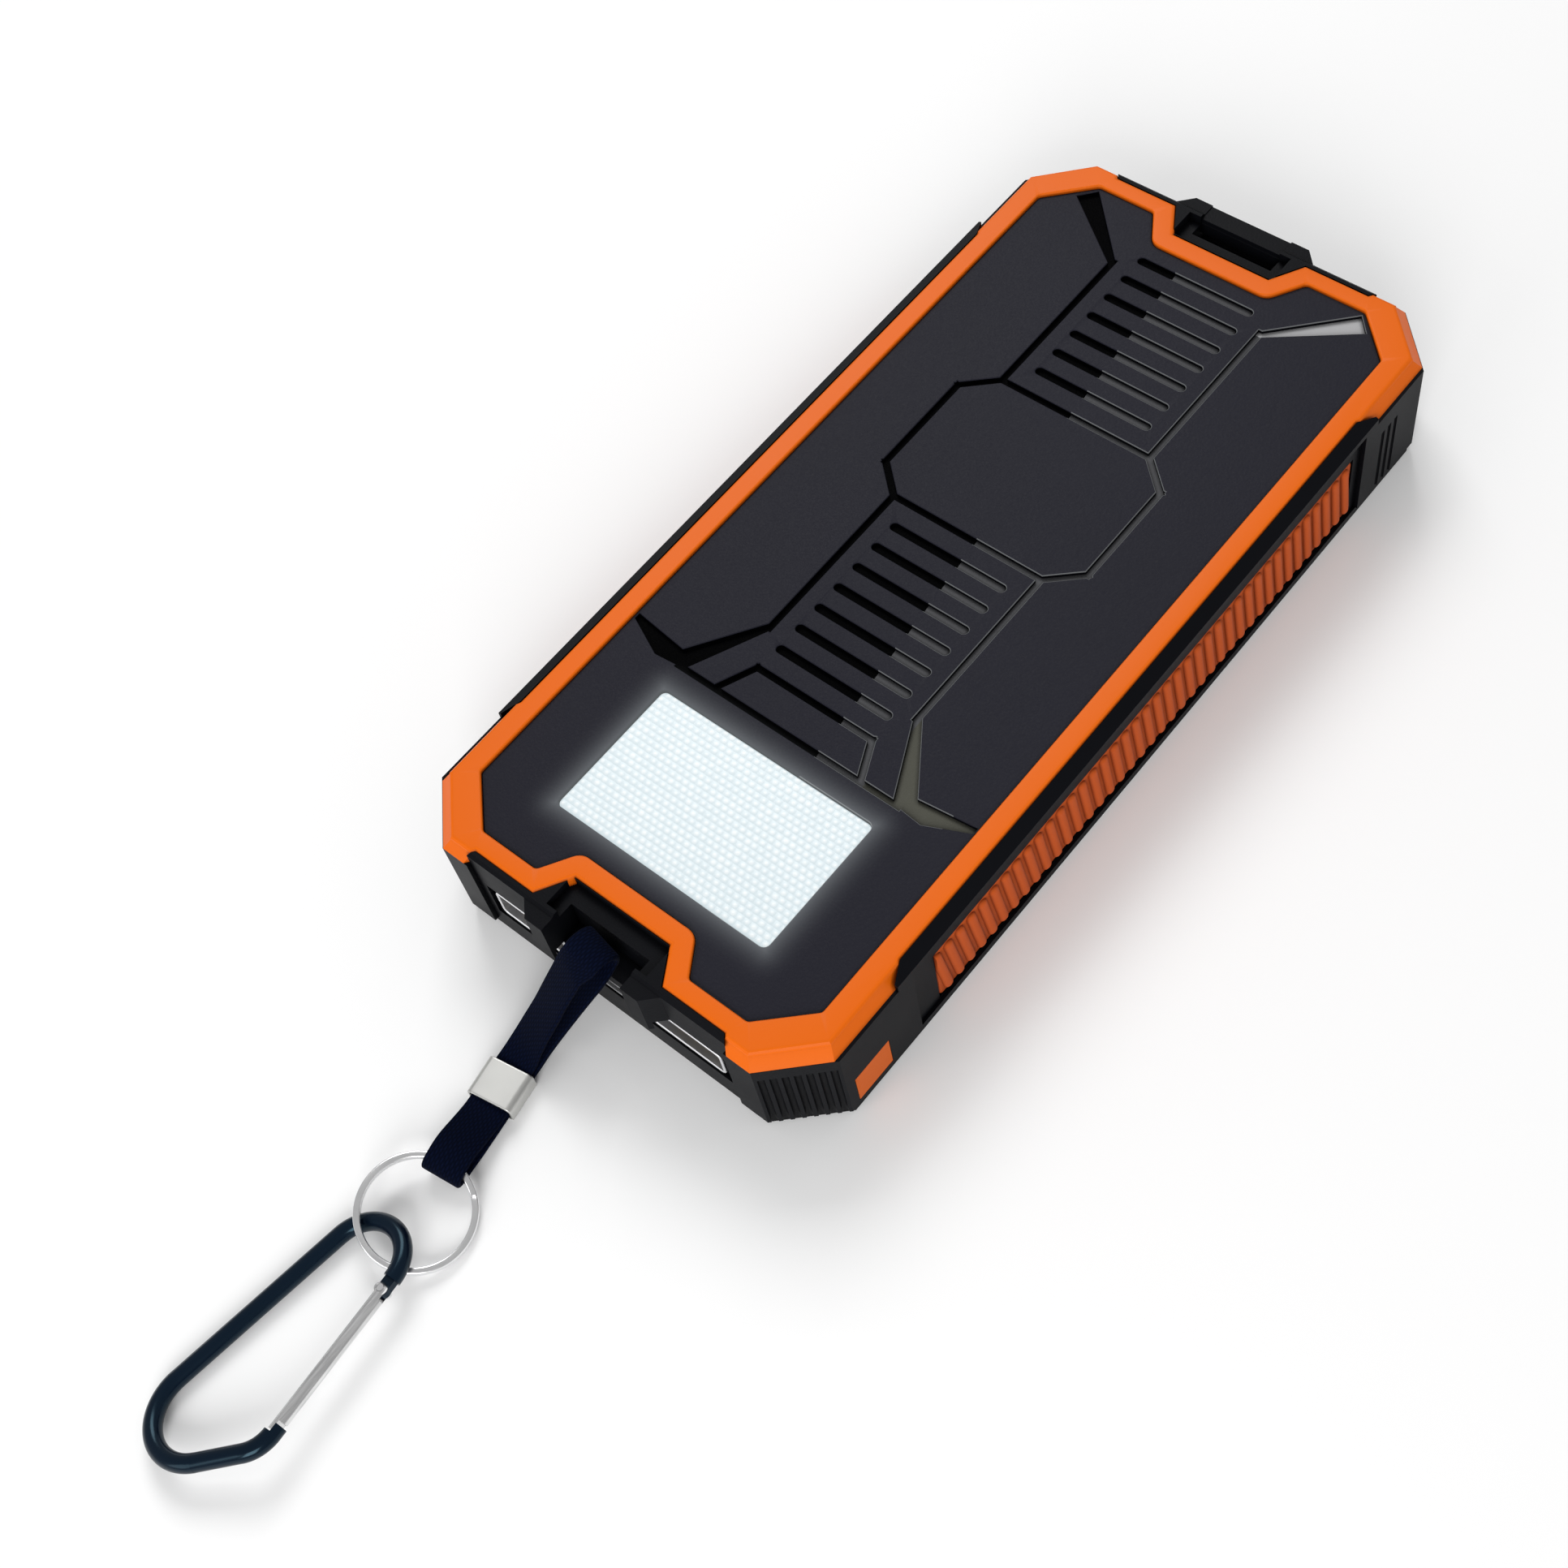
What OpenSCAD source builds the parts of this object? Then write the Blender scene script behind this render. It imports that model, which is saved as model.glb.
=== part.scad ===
/* [Case] */
// Width of the case across the rubber corners
case_w = 73; // [70:0.5:78]
// Length of the case without the two end bars
case_l = 153.6; // [150:0.5:160]
// Height of the closed case
case_h = 20.4; // [20:0.1:22]
// Size of the cut across each corner of the case
corner_cut = 8.2; // [7:0.1:9]
// Height of the solar side cover's rim
rim_h = 1.4; // [1.2:0.1:1.8]

/* [Bezel] */
// Width of the opening inside the orange bezel
opening_w = 62.4; // [60:0.2:64]
// Length of the opening inside the orange bezel
opening_l = 144; // [142:0.5:146]
// Width of the bezel along the long sides
bezel_side = 3.4; // [3:0.1:3.6]
// Thickness of the bezel ring
bezel_t = 2.4; // [2:0.1:2.8]
// Depth of the notch in the opening at both ends
notch_d = 5.6; // [5:0.1:6]
// Height of the bezel above the back panel
bezel_proud = 0.6; // [0.4:0.1:0.9]

/* [Back panel relief] */
// Depth of the grooves in the back panel
groove_d = 0.7; // [0.4:0.1:1]
// Width of the channel grooves
groove_w = 1.1; // [0.8:0.1:1.4]
// Number of slots in each group
slot_count = 7; // [3:1:7]
// Width of one slot
slot_w = 1.45; // [1:0.05:1.8]
// Length of one slot
slot_l = 20.8; // [16:0.2:22]

/* [Lamp window] */
// Width of the lamp window
lamp_w = 38.4; // [34:0.2:40]
// Length of the lamp window
lamp_l = 23; // [20:0.2:24]
// Radius of the lamp window's corners
lamp_corner = 1; // [0.5:0.1:2]
// Distance of the window's middle from the middle of the case
lamp_y = -51.1; // [-52:0.1:-49]

/* [Side grips] */
// Length of each ribbed side grip
grip_l = 100; // [90:1:102]
// Height of each ribbed side grip
grip_h = 12.6; // [11:0.2:13]
// Number of ribs on each side grip
rib_count = 40; // [30:1:44]
// Lean of the ribs
rib_lean = 8.5; // [0:0.5:12]

/* [Button] */
// Length of the button
button_l = 7; // [6:0.1:7.6]
// Height of the button
button_h = 6.4; // [5.6:0.1:6.6]
// Travel of the button
button_travel = 0.6; // [0.3:0.1:0.8]

/* [Lanyard] */
// Width of the strap
strap_w = 6; // [5:0.2:6.4]
// Thickness of one layer of the strap
strap_t = 0.8; // [0.7:0.05:0.9]
// Radius of the key ring to the middle of its wire
ring_r = 7.9; // [7.5:0.1:8.2]
// Diameter of the carabiner's wire
wire_d = 2.6; // [2.2:0.1:2.8]
// Straight length of the carabiner's spine
spine_l = 26.6; // [25:0.2:28]

/* [Hidden] */

$fn = 48;
eps = 0.01;
gap = 0.1;

// Heights, counted from the table up
bezel_z = case_h - bezel_t;
panel_z = case_h - bezel_proud;
ledge_z = 16.6;
flange_z = 17;
lip_z = 19.2;
cover_z = 3.2;
block_z = 11.2;

// Case outline
half_w = case_w / 2;
half_l = case_l / 2;
side_x = half_w - 0.8;
end_y = 76.1;
waist_y = 53.4;
corner_y = 56.4;
corner_x = 23.6;

// End bars and lanyard slots
bar_y = 76.7;
bar_z = 18.1;
bar_flat = 3;
bar_x = 7.2;
bar_end_x = 11.9;
bar_front_y = bar_y + bar_flat / 2 + 0.15;
bar_top_z = bar_z + bar_flat / 2 + 0.15;
slot_in_y = 72.6;
slot_floor_z = 12.9;
far_sill_z = 15.6;

// Ports in the near end
usb_x = 14.4;
usb_z = 8.9;
usb_w = 13.2;
usb_h = 5.7;
usb_depth = 14;
usb_wall = 0.3;
micro_z = 8.6;
micro_w = 7.8;
micro_h = 2.7;
micro_depth = 6;
port_y = -75.9;

// Circuit board
board_z = 5.6;
board_t = 1.6;
board_top = board_z + board_t;
board_half_w = 30;
board_near_y = -72;
board_far_y = -36;

// Screws and their posts
screw_spots = [[24.6, 65], [-24.6, 65], [24.6, -65], [-24.6, -65], [28, -33.6], [-28, -33.6]];
post_r = 2.4;
screw_r = 1.1;
post_z = 4.4;
post_top = 15.6;
web_t = 1.6;
web_h = 3.6;
head_r = 2.1;
head_z = 2.2;
head_h = 1.1;

// Side grips
grip_y = 1.5;
grip_z = 8.1;
grip_base = 1;
rib_r = 0.95;
rib_pitch = grip_l / rib_count;

// Button
button_y = -63.4;
button_z = 5.6;
button_in_x = 31.6;
flange_in_x = 31.1;
wall_in_x = opening_w / 2 + 0.8;
switch_x = 27.4;
switch_len = 2.8;
switch_z = 3.9;
stem_z = 4.8;

// Lamp
lamp_top = panel_z - 0.5;
lamp_flange = 1;

// Solar panel on the underside
solar_half_w = 29.6;
solar_half_l = 69.2;
solar_cut = 7;
solar_top = 2.1;
light_y = -70.6;
light_r = 0.75;

// Batteries
cell_w = 60;
cell_l = 90;
cell_t = 5.8;
cell_y = 16;
cell_z = 3.5;

// Lanyard route, down the middle of the doubled strap: place and half the gap between layers
route = [
    [0, -76.7, 18.1, 2.4],
    [-0.6, -78.3, 16.2, 2.2],
    [-1.3, -80, 14.1, 1.9],
    [-2.1, -81.8, 11.8, 1.6],
    [-2.9, -83.6, 9.4, 1.3],
    [-3.7, -85.4, 7.1, 1.1],
    [-4.4, -87.2, 5, 0.9],
    [-4.9, -89.1, 3.2, 0.7],
    [-5.1, -91, 2.1, 0.6],
    [-5.1, -92.6, 1.6, 0.6],
    [-4.8, -94.3, 1.6, 0.6],
    [-4.5, -96, 1.6, 0.6],
    [-4.2, -97.7, 1.6, 0.6],
    [-3.9, -99.4, 1.7, 0.6],
    [-3.6, -101.1, 1.9, 0.8],
    [-3.3, -102.8, 2.2, 1.1],
    [-3, -104.5, 2.5, 1.5],
    [-2.7, -106.2, 2.8, 1.75],
    [-2.4, -107.9, 2.8, 1.75]
];
route_last = len(route) - 1;
strap_roll = -13.5;
roll_from = 12;
loop_steps = 8;

// Key ring
ring_wire_w = 1.1;
ring_wire_h = 1.5;
ring_tilt = 13.5;
ring_heading = 10;
ring_grip = [-2.45, -107.7, 2.75];

// Clamp on the strap
clamp_at = [-4.65, -95.15, 1.65];
clamp_l = 6;
clamp_wall = 0.5;

// Carabiner, in its own flat frame: spine along +Y from the origin
wire_r = wire_d / 2;
top_r = 5.9;
heel_r = 6.9;
nose_r = 5.2;
top_c = [top_r, spine_l];
heel_c = [heel_r, -0.8];
nose_c = [12.3, 3.5];
gate_turn = tangent_turn(top_c, top_r, nose_c, nose_r, 1);
foot_turn = tangent_turn(heel_c, heel_r, nose_c, nose_r, -1);
gate_from = top_c + top_r * aim(gate_turn);
gate_to = nose_c + nose_r * aim(gate_turn);
gate_way = (gate_to - gate_from) / norm(gate_to - gate_from);
gate_lean = gate_turn;
pivot_drop = 1.8;
pivot = gate_from + pivot_drop * gate_way;
gate_r = 0.95;
tang_t = 1;
pin_r = 0.5;
nose_reach = 1.2;
gate_l = norm(gate_to - gate_from) - pivot_drop - 0.3;
carabiner_at = [-11.24, -150.4, 1.35];
carabiner_heading = -7.8;
carabiner_tilt = 14;
carabiner_pitch = 0.8;

// Unit vector at an angle in the plane
function aim(a) = [cos(a), sin(a)];

// Direction of the outer line that touches two circles, on the side given by its sign
function tangent_turn(c1, r1, c2, r2, side) =
    atan2(c2[1] - c1[1], c2[0] - c1[0]) + side * acos((r1 - r2) / norm(c2 - c1));

// Mirrors a quarter outline, listed from the +X side to the +Y side, into all four quarters
function all_quarters(q) = concat(
    q,
    [for (i = [len(q) - 1:-1:0]) [-q[i][0], q[i][1]]],
    [for (p = q) [-p[0], -p[1]]],
    [for (i = [len(q) - 1:-1:0]) [q[i][0], -q[i][1]]]
);

// Outline of a rectangle with its corners cut, grown by a margin
function cut_corners(w, l, cut, grow = 0) = all_quarters([
    [w + grow, l - cut],
    [w - cut, l + grow]
]);

// Opening inside the bezel, with the notch at both ends
function opening_outline() = all_quarters([
    [opening_w / 2, opening_l / 2 - 6.8],
    [opening_w / 2 - 7, opening_l / 2],
    [14, opening_l / 2],
    [10.4, opening_l / 2 - notch_d]
]);

// Outside edge of the bezel
function bezel_outline() = all_quarters([
    [opening_w / 2 + bezel_side, waist_y],
    [half_w - 0.5, corner_y],
    [half_w - 0.5, half_l - 7.8],
    [half_w - 8.3, half_l],
    [corner_x + 0.6, half_l],
    [corner_x - 0.8, 75],
    [11.8, 75],
    [8.6, 69.8]
]);

// Outline with each corner turned into an arc; corners near the middle line can have their own
function eased(outline, r, near_r = 0, steps = 5) = [
    for (i = [0:len(outline) - 1]) each arc_at(
        outline[(i + len(outline) - 1) % len(outline)],
        outline[i],
        outline[(i + 1) % len(outline)],
        near_r > 0 && abs(outline[i][0]) < 11 ? near_r : r,
        steps
    )
];

// Arc that meets both edges of a corner
function arc_at(before, at, after, r, steps) =
    let (
        a = (before - at) / norm(before - at),
        b = (after - at) / norm(after - at),
        half = acos(a * b) / 2,
        middle = at + (a + b) / norm(a + b) * r / sin(half),
        from = at + a * r / tan(half) - middle,
        to = at + b * r / tan(half) - middle,
        start = atan2(from[1], from[0]),
        sweep = 2 * (90 - half) * (a[0] * b[1] - a[1] * b[0] > 0 ? -1 : 1)
    )
    [for (k = [0:steps]) middle + r * aim(start + sweep * k / steps)];

module opening(grow = 0) {
    offset(delta = grow) polygon(eased(opening_outline(), 0.9, 2.4));
}

module cavity_plain() {
    polygon(cut_corners(opening_w / 2 + 0.8, opening_l / 2 + 0.8, 7));
}

// A corner post's web runs to the cut corner, another post's straight to the side wall
function web_turn(p) = abs(p[1]) > waist_y ? atan2(sign(p[1]), sign(p[0])) : p[0] > 0 ? 0 : 180;
function web_l(p) = abs(p[1]) > waist_y ? 6.4 : 4.6;

// Box given by its low corner and its high corner
module block(low, high) {
    translate(low) cube(high - low);
}

// Straight round rod between two points
module rod(a, b, r) {
    v = b - a;
    translate(a)
        rotate([0, acos(v[2] / norm(v)), atan2(v[1], v[0])])
            cylinder(h = norm(v), r = r, $fn = 24);
}

// Wire along straight stretches, with round elbows
module wire(points, r) {
    for (i = [0:len(points) - 2])
        rod(points[i], points[i + 1], r);
    for (i = [1:len(points) - 2])
        translate(points[i]) sphere(r = r + 0.05, $fn = 24);
}

// Case with its top edge bevelled on the long sides
module frame_envelope() {
    hull() {
        translate([0, 0, rim_h])
            linear_extrude(lip_z - rim_h)
                polygon(cut_corners(half_w, half_l, corner_cut));
        translate([0, 0, case_h - 0.2])
            linear_extrude(eps)
                polygon(cut_corners(half_w - 1.9, half_l - 1.2, corner_cut));
    }
}

module corner_grooves() {
    groove_n = 7;
    pitch = 1.6;
    for (sx = [-1, 1], sy = [-1, 1], i = [0:groove_n - 1]) {
        along = (i - (groove_n - 1) / 2) * pitch / sqrt(2);
        translate([
            sx * (half_w - corner_cut / 2 + along),
            sy * (half_l - corner_cut / 2 - along),
            rim_h - 1
        ])
            cylinder(h = 15, r = 0.5, $fn = 16);
    }
}

// Upright grooves beside the grips; none at the button
module waist_grooves() {
    for (sx = [-1, 1], sy = [-1, 1], i = [0:2])
        if (sx < 0 || sy > 0) translate([sx * half_w, sy * (corner_y + 2 + i * 1.7), rim_h - 1])
            cylinder(h = 14, r = 0.45, $fn = 16);
}

// The bar that the strap goes round
module end_bar() {
    translate([-bar_x - 0.5, bar_y, bar_z])
        rotate([0, 90, 0])
            rotate([0, 0, 22.5])
                cylinder(h = 2 * (bar_x + 0.5), r = bar_flat / 2 / cos(22.5), $fn = 8);
}

// The two blocks that hold the bar, one at each side of the slot
module bar_blocks() {
    for (s = [-1, 1])
        translate([0, 0, slot_floor_z - 2])
            linear_extrude(bar_top_z - slot_floor_z + 2)
                polygon([
                    [s * bar_x, end_y - 1],
                    [s * bar_x, bar_front_y],
                    [s * (bar_end_x - 1.6), bar_front_y],
                    [s * (bar_end_x + 0.6), end_y],
                    [s * (bar_end_x + 0.6), end_y - 1]
                ]);
}

module usb_opening(x) {
    block([x - usb_w / 2 - gap, -half_l - 1, usb_z - usb_h / 2 - gap],
        [x + usb_w / 2 + gap, -60, usb_z + usb_h / 2 + gap]);
    block([x - usb_w / 2 - 1.2, -half_l - 1, usb_z - usb_h / 2 - 1],
        [x + usb_w / 2 + 1.2, -75.4, usb_z + usb_h / 2 + 1]);
}

module micro_opening() {
    block([-micro_w / 2 - gap, -half_l - 1, micro_z - micro_h / 2 - gap],
        [micro_w / 2 + gap, -60, micro_z + micro_h / 2 + gap]);
    block([-micro_w / 2 - 1, -half_l - 1, micro_z - micro_h / 2 - 0.8],
        [micro_w / 2 + 1, -75.4, micro_z + micro_h / 2 + 0.8]);
}

// Black frame: walls, end bars, lanyard slots, port openings, grip seats and screw posts
module case_frame() {
    color([0.07, 0.07, 0.08]) {
        difference() {
            union() {
                difference() {
                    frame_envelope();
                    for (s = [-1, 1]) {
                        block([min(s * side_x, s * 50), -waist_y, rim_h - 1],
                            [max(s * side_x, s * 50), waist_y, lip_z - 1]);
                        block([-corner_x, min(s * end_y, s * 90), rim_h - 1],
                            [corner_x, max(s * end_y, s * 90), 30]);
                    }
                    corner_grooves();
                    waist_grooves();
                }
                bar_blocks();
                mirror([0, 1, 0]) bar_blocks();
            }
            // seat of the bezel
            translate([0, 0, bezel_z])
                linear_extrude(10)
                    polygon(bezel_outline());
            for (sx = [-1, 1], sy = [-1, 1])
                block([min(sx * corner_x, sx * 50), min(sy * corner_y, sy * 90), bezel_z],
                    [max(sx * corner_x, sx * 50), max(sy * corner_y, sy * 90), 30]);
            // shallow well around each slot, and the slot itself
            for (s = [-1, 1]) {
                block([-bar_x - 2, min(s * 69.9, s * 75), bar_z + bar_flat / 2 - 1],
                    [bar_x + 2, max(s * 69.9, s * 75), 30]);
                block([-bar_x, min(s * slot_in_y, s * 75.35), slot_floor_z],
                    [bar_x, max(s * slot_in_y, s * 75.35), 30]);
            }
            // outlet under each bar, with a higher sill at the far end
            block([-bar_x, -80, slot_floor_z], [bar_x, -75.2, 30]);
            block([-bar_x, 75.2, far_sill_z], [bar_x, 80, 30]);
            // room inside
            translate([0, 0, rim_h - 1])
                linear_extrude(block_z - rim_h + 1)
                    cavity_plain();
            linear_extrude(ledge_z) opening(0.8);
            translate([0, 0, ledge_z])
                linear_extrude(20) opening(1.6);
            usb_opening(usb_x);
            usb_opening(-usb_x);
            micro_opening();
            button_opening();
            for (s = [-1, 1])
                grip_seat(s);
        }
        end_bar();
        // far bar, as deep and as high as its blocks
        block([-bar_x - 0.5, 75.25, bar_z - bar_flat / 2],
            [bar_x + 0.5, 78.2, bar_z + bar_flat / 2]);
        for (p = screw_spots)
            screw_post(p);
    }
}

module screw_post(p) {
    difference() {
        union() {
            translate([p[0], p[1], post_z]) cylinder(h = post_top - post_z, r = post_r);
            // web that ties the post to the wall
            translate([p[0], p[1], board_top + 0.2])
                rotate(web_turn(p))
                    translate([0, -web_t / 2, 0])
                        cube([web_l(p), web_t, web_h]);
        }
        translate([p[0], p[1], post_z - 1]) cylinder(h = 9, r = screw_r);
    }
}

module button_opening() {
    block([wall_in_x - 1, button_y - button_l / 2 - gap, button_z - button_h / 2 - gap],
        [50, button_y + button_l / 2 + gap, button_z + button_h / 2 + gap]);
    // pocket of the button's flange in the thicker wall near the corner
    block([wall_in_x - 5, button_y - button_l / 2 - 0.9, button_z - button_h / 2],
        [wall_in_x, button_y + button_l / 2 + 0.9, button_z + button_h / 2 + 0.9]);
}

module grip_seat(s) {
    block([min(s * (side_x - grip_base - 0.2), s * 50), grip_y - grip_l / 2 - gap,
            grip_z - grip_h / 2 - gap],
        [max(s * (side_x - grip_base - 0.2), s * 50), grip_y + grip_l / 2 + gap,
            grip_z + grip_h / 2 + gap]);
}

// Cover on the solar side: a rim that stands on the table and a plate inside the frame
module front_cover() {
    color([0.08, 0.08, 0.09]) difference() {
        union() {
            linear_extrude(rim_h)
                polygon(cut_corners(half_w - 0.3, half_l - 0.7, corner_cut));
            linear_extrude(cover_z)
                polygon(cut_corners(opening_w / 2 - 0.4, opening_l / 2, 6.6));
            for (p = screw_spots)
                translate([p[0], p[1], 0]) cylinder(h = post_z, r = post_r + 0.6);
        }
        translate([0, 0, -1])
            linear_extrude(solar_top + 1)
                polygon(cut_corners(solar_half_w, solar_half_l, solar_cut));
        for (p = screw_spots) {
            translate([p[0], p[1], -1]) cylinder(h = 10, r = screw_r + 0.2);
            translate([p[0], p[1], -1]) cylinder(h = head_z + head_h + 1.05, r = head_r + 0.2);
        }
        for (i = [-2:2])
            translate([i * 4, light_y, -1]) cylinder(h = 10, r = light_r + 0.05);
        for (s = [-1, 1])
            translate([s * 4, -60, -1]) cylinder(h = 10, r = 1);
        // room for the button's flange and the switch
        block([26.8, button_y - 5, 2.6], [40, button_y + 5, 10]);
    }
}

// Slot with round ends along x
module slot(l, w) {
    polygon([
        for (k = [-6:6]) [l / 2 - w / 2, 0] + w / 2 * aim(k * 15),
        for (k = [-6:6]) [w / 2 - l / 2, 0] - w / 2 * aim(k * 15)
    ]);
}

// Groove along a straight line on the back panel
module groove(a, b, w) {
    v = b - a;
    translate(a)
        rotate(atan2(v[1], v[0]))
            translate([-w / 2, -w / 2]) square([norm(v) + w, w]);
}

module relief() {
    oct_far = 32;
    oct_near = 5.6;
    channel_x = 13.4;
    oct_x = 18.4;
    oct_cut = 4.4;
    for (s = [-1, 1]) {
        groove([s * channel_x, oct_far], [s * channel_x, 60.4], groove_w);
        groove([s * channel_x, -23], [s * channel_x, oct_near], groove_w);
        groove([s * channel_x, oct_near], [s * oct_x, oct_near + oct_cut], groove_w);
        groove([s * oct_x, oct_near + oct_cut], [s * oct_x, oct_far - oct_cut], groove_w);
        groove([s * oct_x, oct_far - oct_cut], [s * channel_x, oct_far], groove_w);
        polygon([[s * 12.9, 60.4], [s * 24, 71.4], [s * 26.4, 68.8], [s * 13.9, 59.8]]);
        polygon([
            [s * 12.9, -23],
            [s * 19, -35.4],
            [s * 24.2, -35.9],
            [s * 30.8, -32.9],
            [s * 30.8, -31.9],
            [s * 21.4, -33],
            [s * 13.9, -22.4]
        ]);
        groove([s * 10.4, -29.2], [s * 13.2, -35.2], groove_w);
    }
    for (y = [oct_near, oct_far])
        groove([-channel_x, y], [channel_x, y], groove_w);
    groove([-20, -35.4], [20, -35.4], 1);
    groove([-10.4, -29.2], [10.4, -29.2], groove_w);
    for (i = [0:slot_count - 1]) {
        translate([0, 62.9 - i * 4.4]) slot(slot_l, slot_w);
        translate([0, 1.2 - i * 4.35]) slot(slot_l, slot_w);
    }
}

// Outline of the lamp's window, made smaller by a margin
module lamp_outline(inset) {
    w = lamp_w / 2 - inset;
    l = lamp_l / 2 - inset;
    translate([0, lamp_y])
        polygon(eased([[w, l], [-w, l], [-w, -l], [w, -l]], lamp_corner - inset));
}

// Textured back panel with its grooves, slots and lamp opening
module back_panel() {
    color([0.19, 0.19, 0.22]) difference() {
        union() {
            translate([0, 0, flange_z]) linear_extrude(bezel_z - flange_z) opening(1.5);
            translate([0, 0, flange_z]) linear_extrude(panel_z - flange_z) opening(-0.05);
        }
        translate([0, 0, panel_z - groove_d]) linear_extrude(5) relief();
        linear_extrude(30) lamp_outline(0);
        block([-lamp_w / 2 - lamp_flange - gap, lamp_y - lamp_l / 2 - lamp_flange - gap, 0],
            [lamp_w / 2 + lamp_flange + gap, lamp_y + lamp_l / 2 + lamp_flange + gap,
                flange_z + 0.4]);
    }
}

// Orange bezel, bevelled at the corners of the case
module back_bezel() {
    color([0.92, 0.43, 0.11]) difference() {
        intersection() {
            translate([0, 0, bezel_z]) linear_extrude(bezel_t) polygon(bezel_outline());
            hull() {
                translate([0, 0, bezel_z])
                    linear_extrude(eps)
                        polygon(cut_corners(half_w - 0.5, half_l, 7.8));
                translate([0, 0, case_h - eps])
                    linear_extrude(eps)
                        polygon(cut_corners(half_w - 1.6, half_l - 1.2, 7.6));
            }
        }
        translate([0, 0, bezel_z - 1]) linear_extrude(10) opening();
    }
}

// Rubber seal between the frame's ledge and the panel
module case_seal() {
    color([0.1, 0.1, 0.1]) translate([0, 0, ledge_z]) linear_extrude(flange_z - ledge_z)
        difference() {
            opening(1.5);
            opening(0.9);
        }
}

// Ribbed side grip, modelled for the +X side
module grip() {
    foot = side_x - grip_base - 0.1;
    intersection() {
        block([foot, grip_y - grip_l / 2, grip_z - grip_h / 2],
            [foot + 5, grip_y + grip_l / 2, grip_z + grip_h / 2]);
        translate([foot, grip_y, grip_z])
            rotate([rib_lean, 0, 0])
                linear_extrude(2 * grip_h, center = true)
                    union() {
                        translate([0, -grip_l]) square([grip_base, 2 * grip_l]);
                        for (i = [-rib_count / 2 - 2:rib_count / 2 + 1])
                            translate([grip_base - 0.3, (i + 0.5) * rib_pitch])
                                circle(r = rib_r, $fn = 24);
                    }
    }
}

module grip_right() {
    color([0.69, 0.29, 0.11]) grip();
}

module grip_left() {
    color([0.69, 0.29, 0.11]) mirror([1, 0, 0]) grip();
}

// Power button with the flange that keeps it in the wall
module power_button() {
    color([0.85, 0.38, 0.1]) {
        block([button_in_x, button_y - button_l / 2, button_z - button_h / 2],
            [half_w, button_y + button_l / 2, button_z + button_h / 2]);
        block([flange_in_x, button_y - button_l / 2 - 0.8, button_z - button_h / 2 + 0.4],
            [wall_in_x - gap, button_y + button_l / 2 + 0.8, button_z + button_h / 2 + 0.8]);
    }
}

module switch_stem() {
    color([0.1, 0.1, 0.1])
        block([switch_x + switch_len - 1, button_y - 1.2, stem_z - 0.6],
            [flange_in_x, button_y + 1.2, stem_z + 0.6]);
}

module switch_body() {
    color([0.75, 0.75, 0.77]) difference() {
        block([switch_x, button_y - 3, switch_z],
            [switch_x + switch_len, button_y + 3, board_z]);
        block([switch_x + switch_len - 1 - button_travel - gap, button_y - 1.3, stem_z - 0.7],
            [switch_x + switch_len + 1, button_y + 1.3, stem_z + 0.7]);
    }
}

module lamp_window() {
    color([0.93, 0.96, 0.98]) {
        translate([0, 0, flange_z]) linear_extrude(lamp_top - flange_z) lamp_outline(0.05);
        block([-lamp_w / 2 - lamp_flange, lamp_y - lamp_l / 2 - lamp_flange, flange_z - 0.4],
            [lamp_w / 2 + lamp_flange, lamp_y + lamp_l / 2 + lamp_flange, flange_z + 0.4]);
    }
}

module lamp_reflector() {
    color([0.95, 0.95, 0.93]) difference() {
        block([-lamp_w / 2 - lamp_flange, lamp_y - lamp_l / 2 - lamp_flange, 13.9],
            [lamp_w / 2 + lamp_flange, lamp_y + lamp_l / 2 + lamp_flange, flange_z - 0.4]);
        block([-lamp_w / 2 + 0.4, lamp_y - lamp_l / 2 + 0.4, 13],
            [lamp_w / 2 - 0.4, lamp_y + lamp_l / 2 - 0.4, 20]);
    }
}

module lamp_board() {
    color([0.9, 0.9, 0.88])
        block([-lamp_w / 2 - lamp_flange, lamp_y - lamp_l / 2 - lamp_flange, 12.9],
            [lamp_w / 2 + lamp_flange, lamp_y + lamp_l / 2 + lamp_flange, 13.9]);
}

module lamp_leds() {
    color([0.98, 0.93, 0.6])
        for (i = [0:5], j = [0:3])
            translate([(i - 2.5) * 5.8, lamp_y + (j - 1.5) * 5.2, 13.9 + 0.4])
                cube([2.8, 3.5, 0.8], center = true);
}

// Clear sheet over the solar cells, just inside the rim
module solar_sheet() {
    color([0.2, 0.25, 0.35, 0.5])
        translate([0, 0, 0.4])
            linear_extrude(0.5)
                polygon(cut_corners(solar_half_w - 0.1, solar_half_l - 0.1, solar_cut));
}

cell_cols = 2;
cell_rows = 6;
cell_pitch_x = 27.6;
cell_pitch_y = 21.6;

module solar_cells() {
    color([0.05, 0.08, 0.2])
        for (i = [0:cell_cols - 1], j = [0:cell_rows - 1])
            translate([(i - 0.5) * cell_pitch_x, (j - 2.5) * cell_pitch_y, 1.05])
                cube([cell_pitch_x - 1, cell_pitch_y - 1, 0.1], center = true);
}

module solar_ribbons() {
    color([0.85, 0.85, 0.87])
        for (i = [0:cell_cols - 1], s = [-1, 1])
            translate([(i - 0.5) * cell_pitch_x + s * 6.5, 0, 0.95])
                cube([1.2, cell_rows * cell_pitch_y - 4, 0.1], center = true);
}

module solar_board() {
    color([0.1, 0.12, 0.1])
        translate([0, 0, 1.1])
            linear_extrude(1)
                polygon(cut_corners(solar_half_w - 0.1, solar_half_l - 0.1, solar_cut));
}

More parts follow.
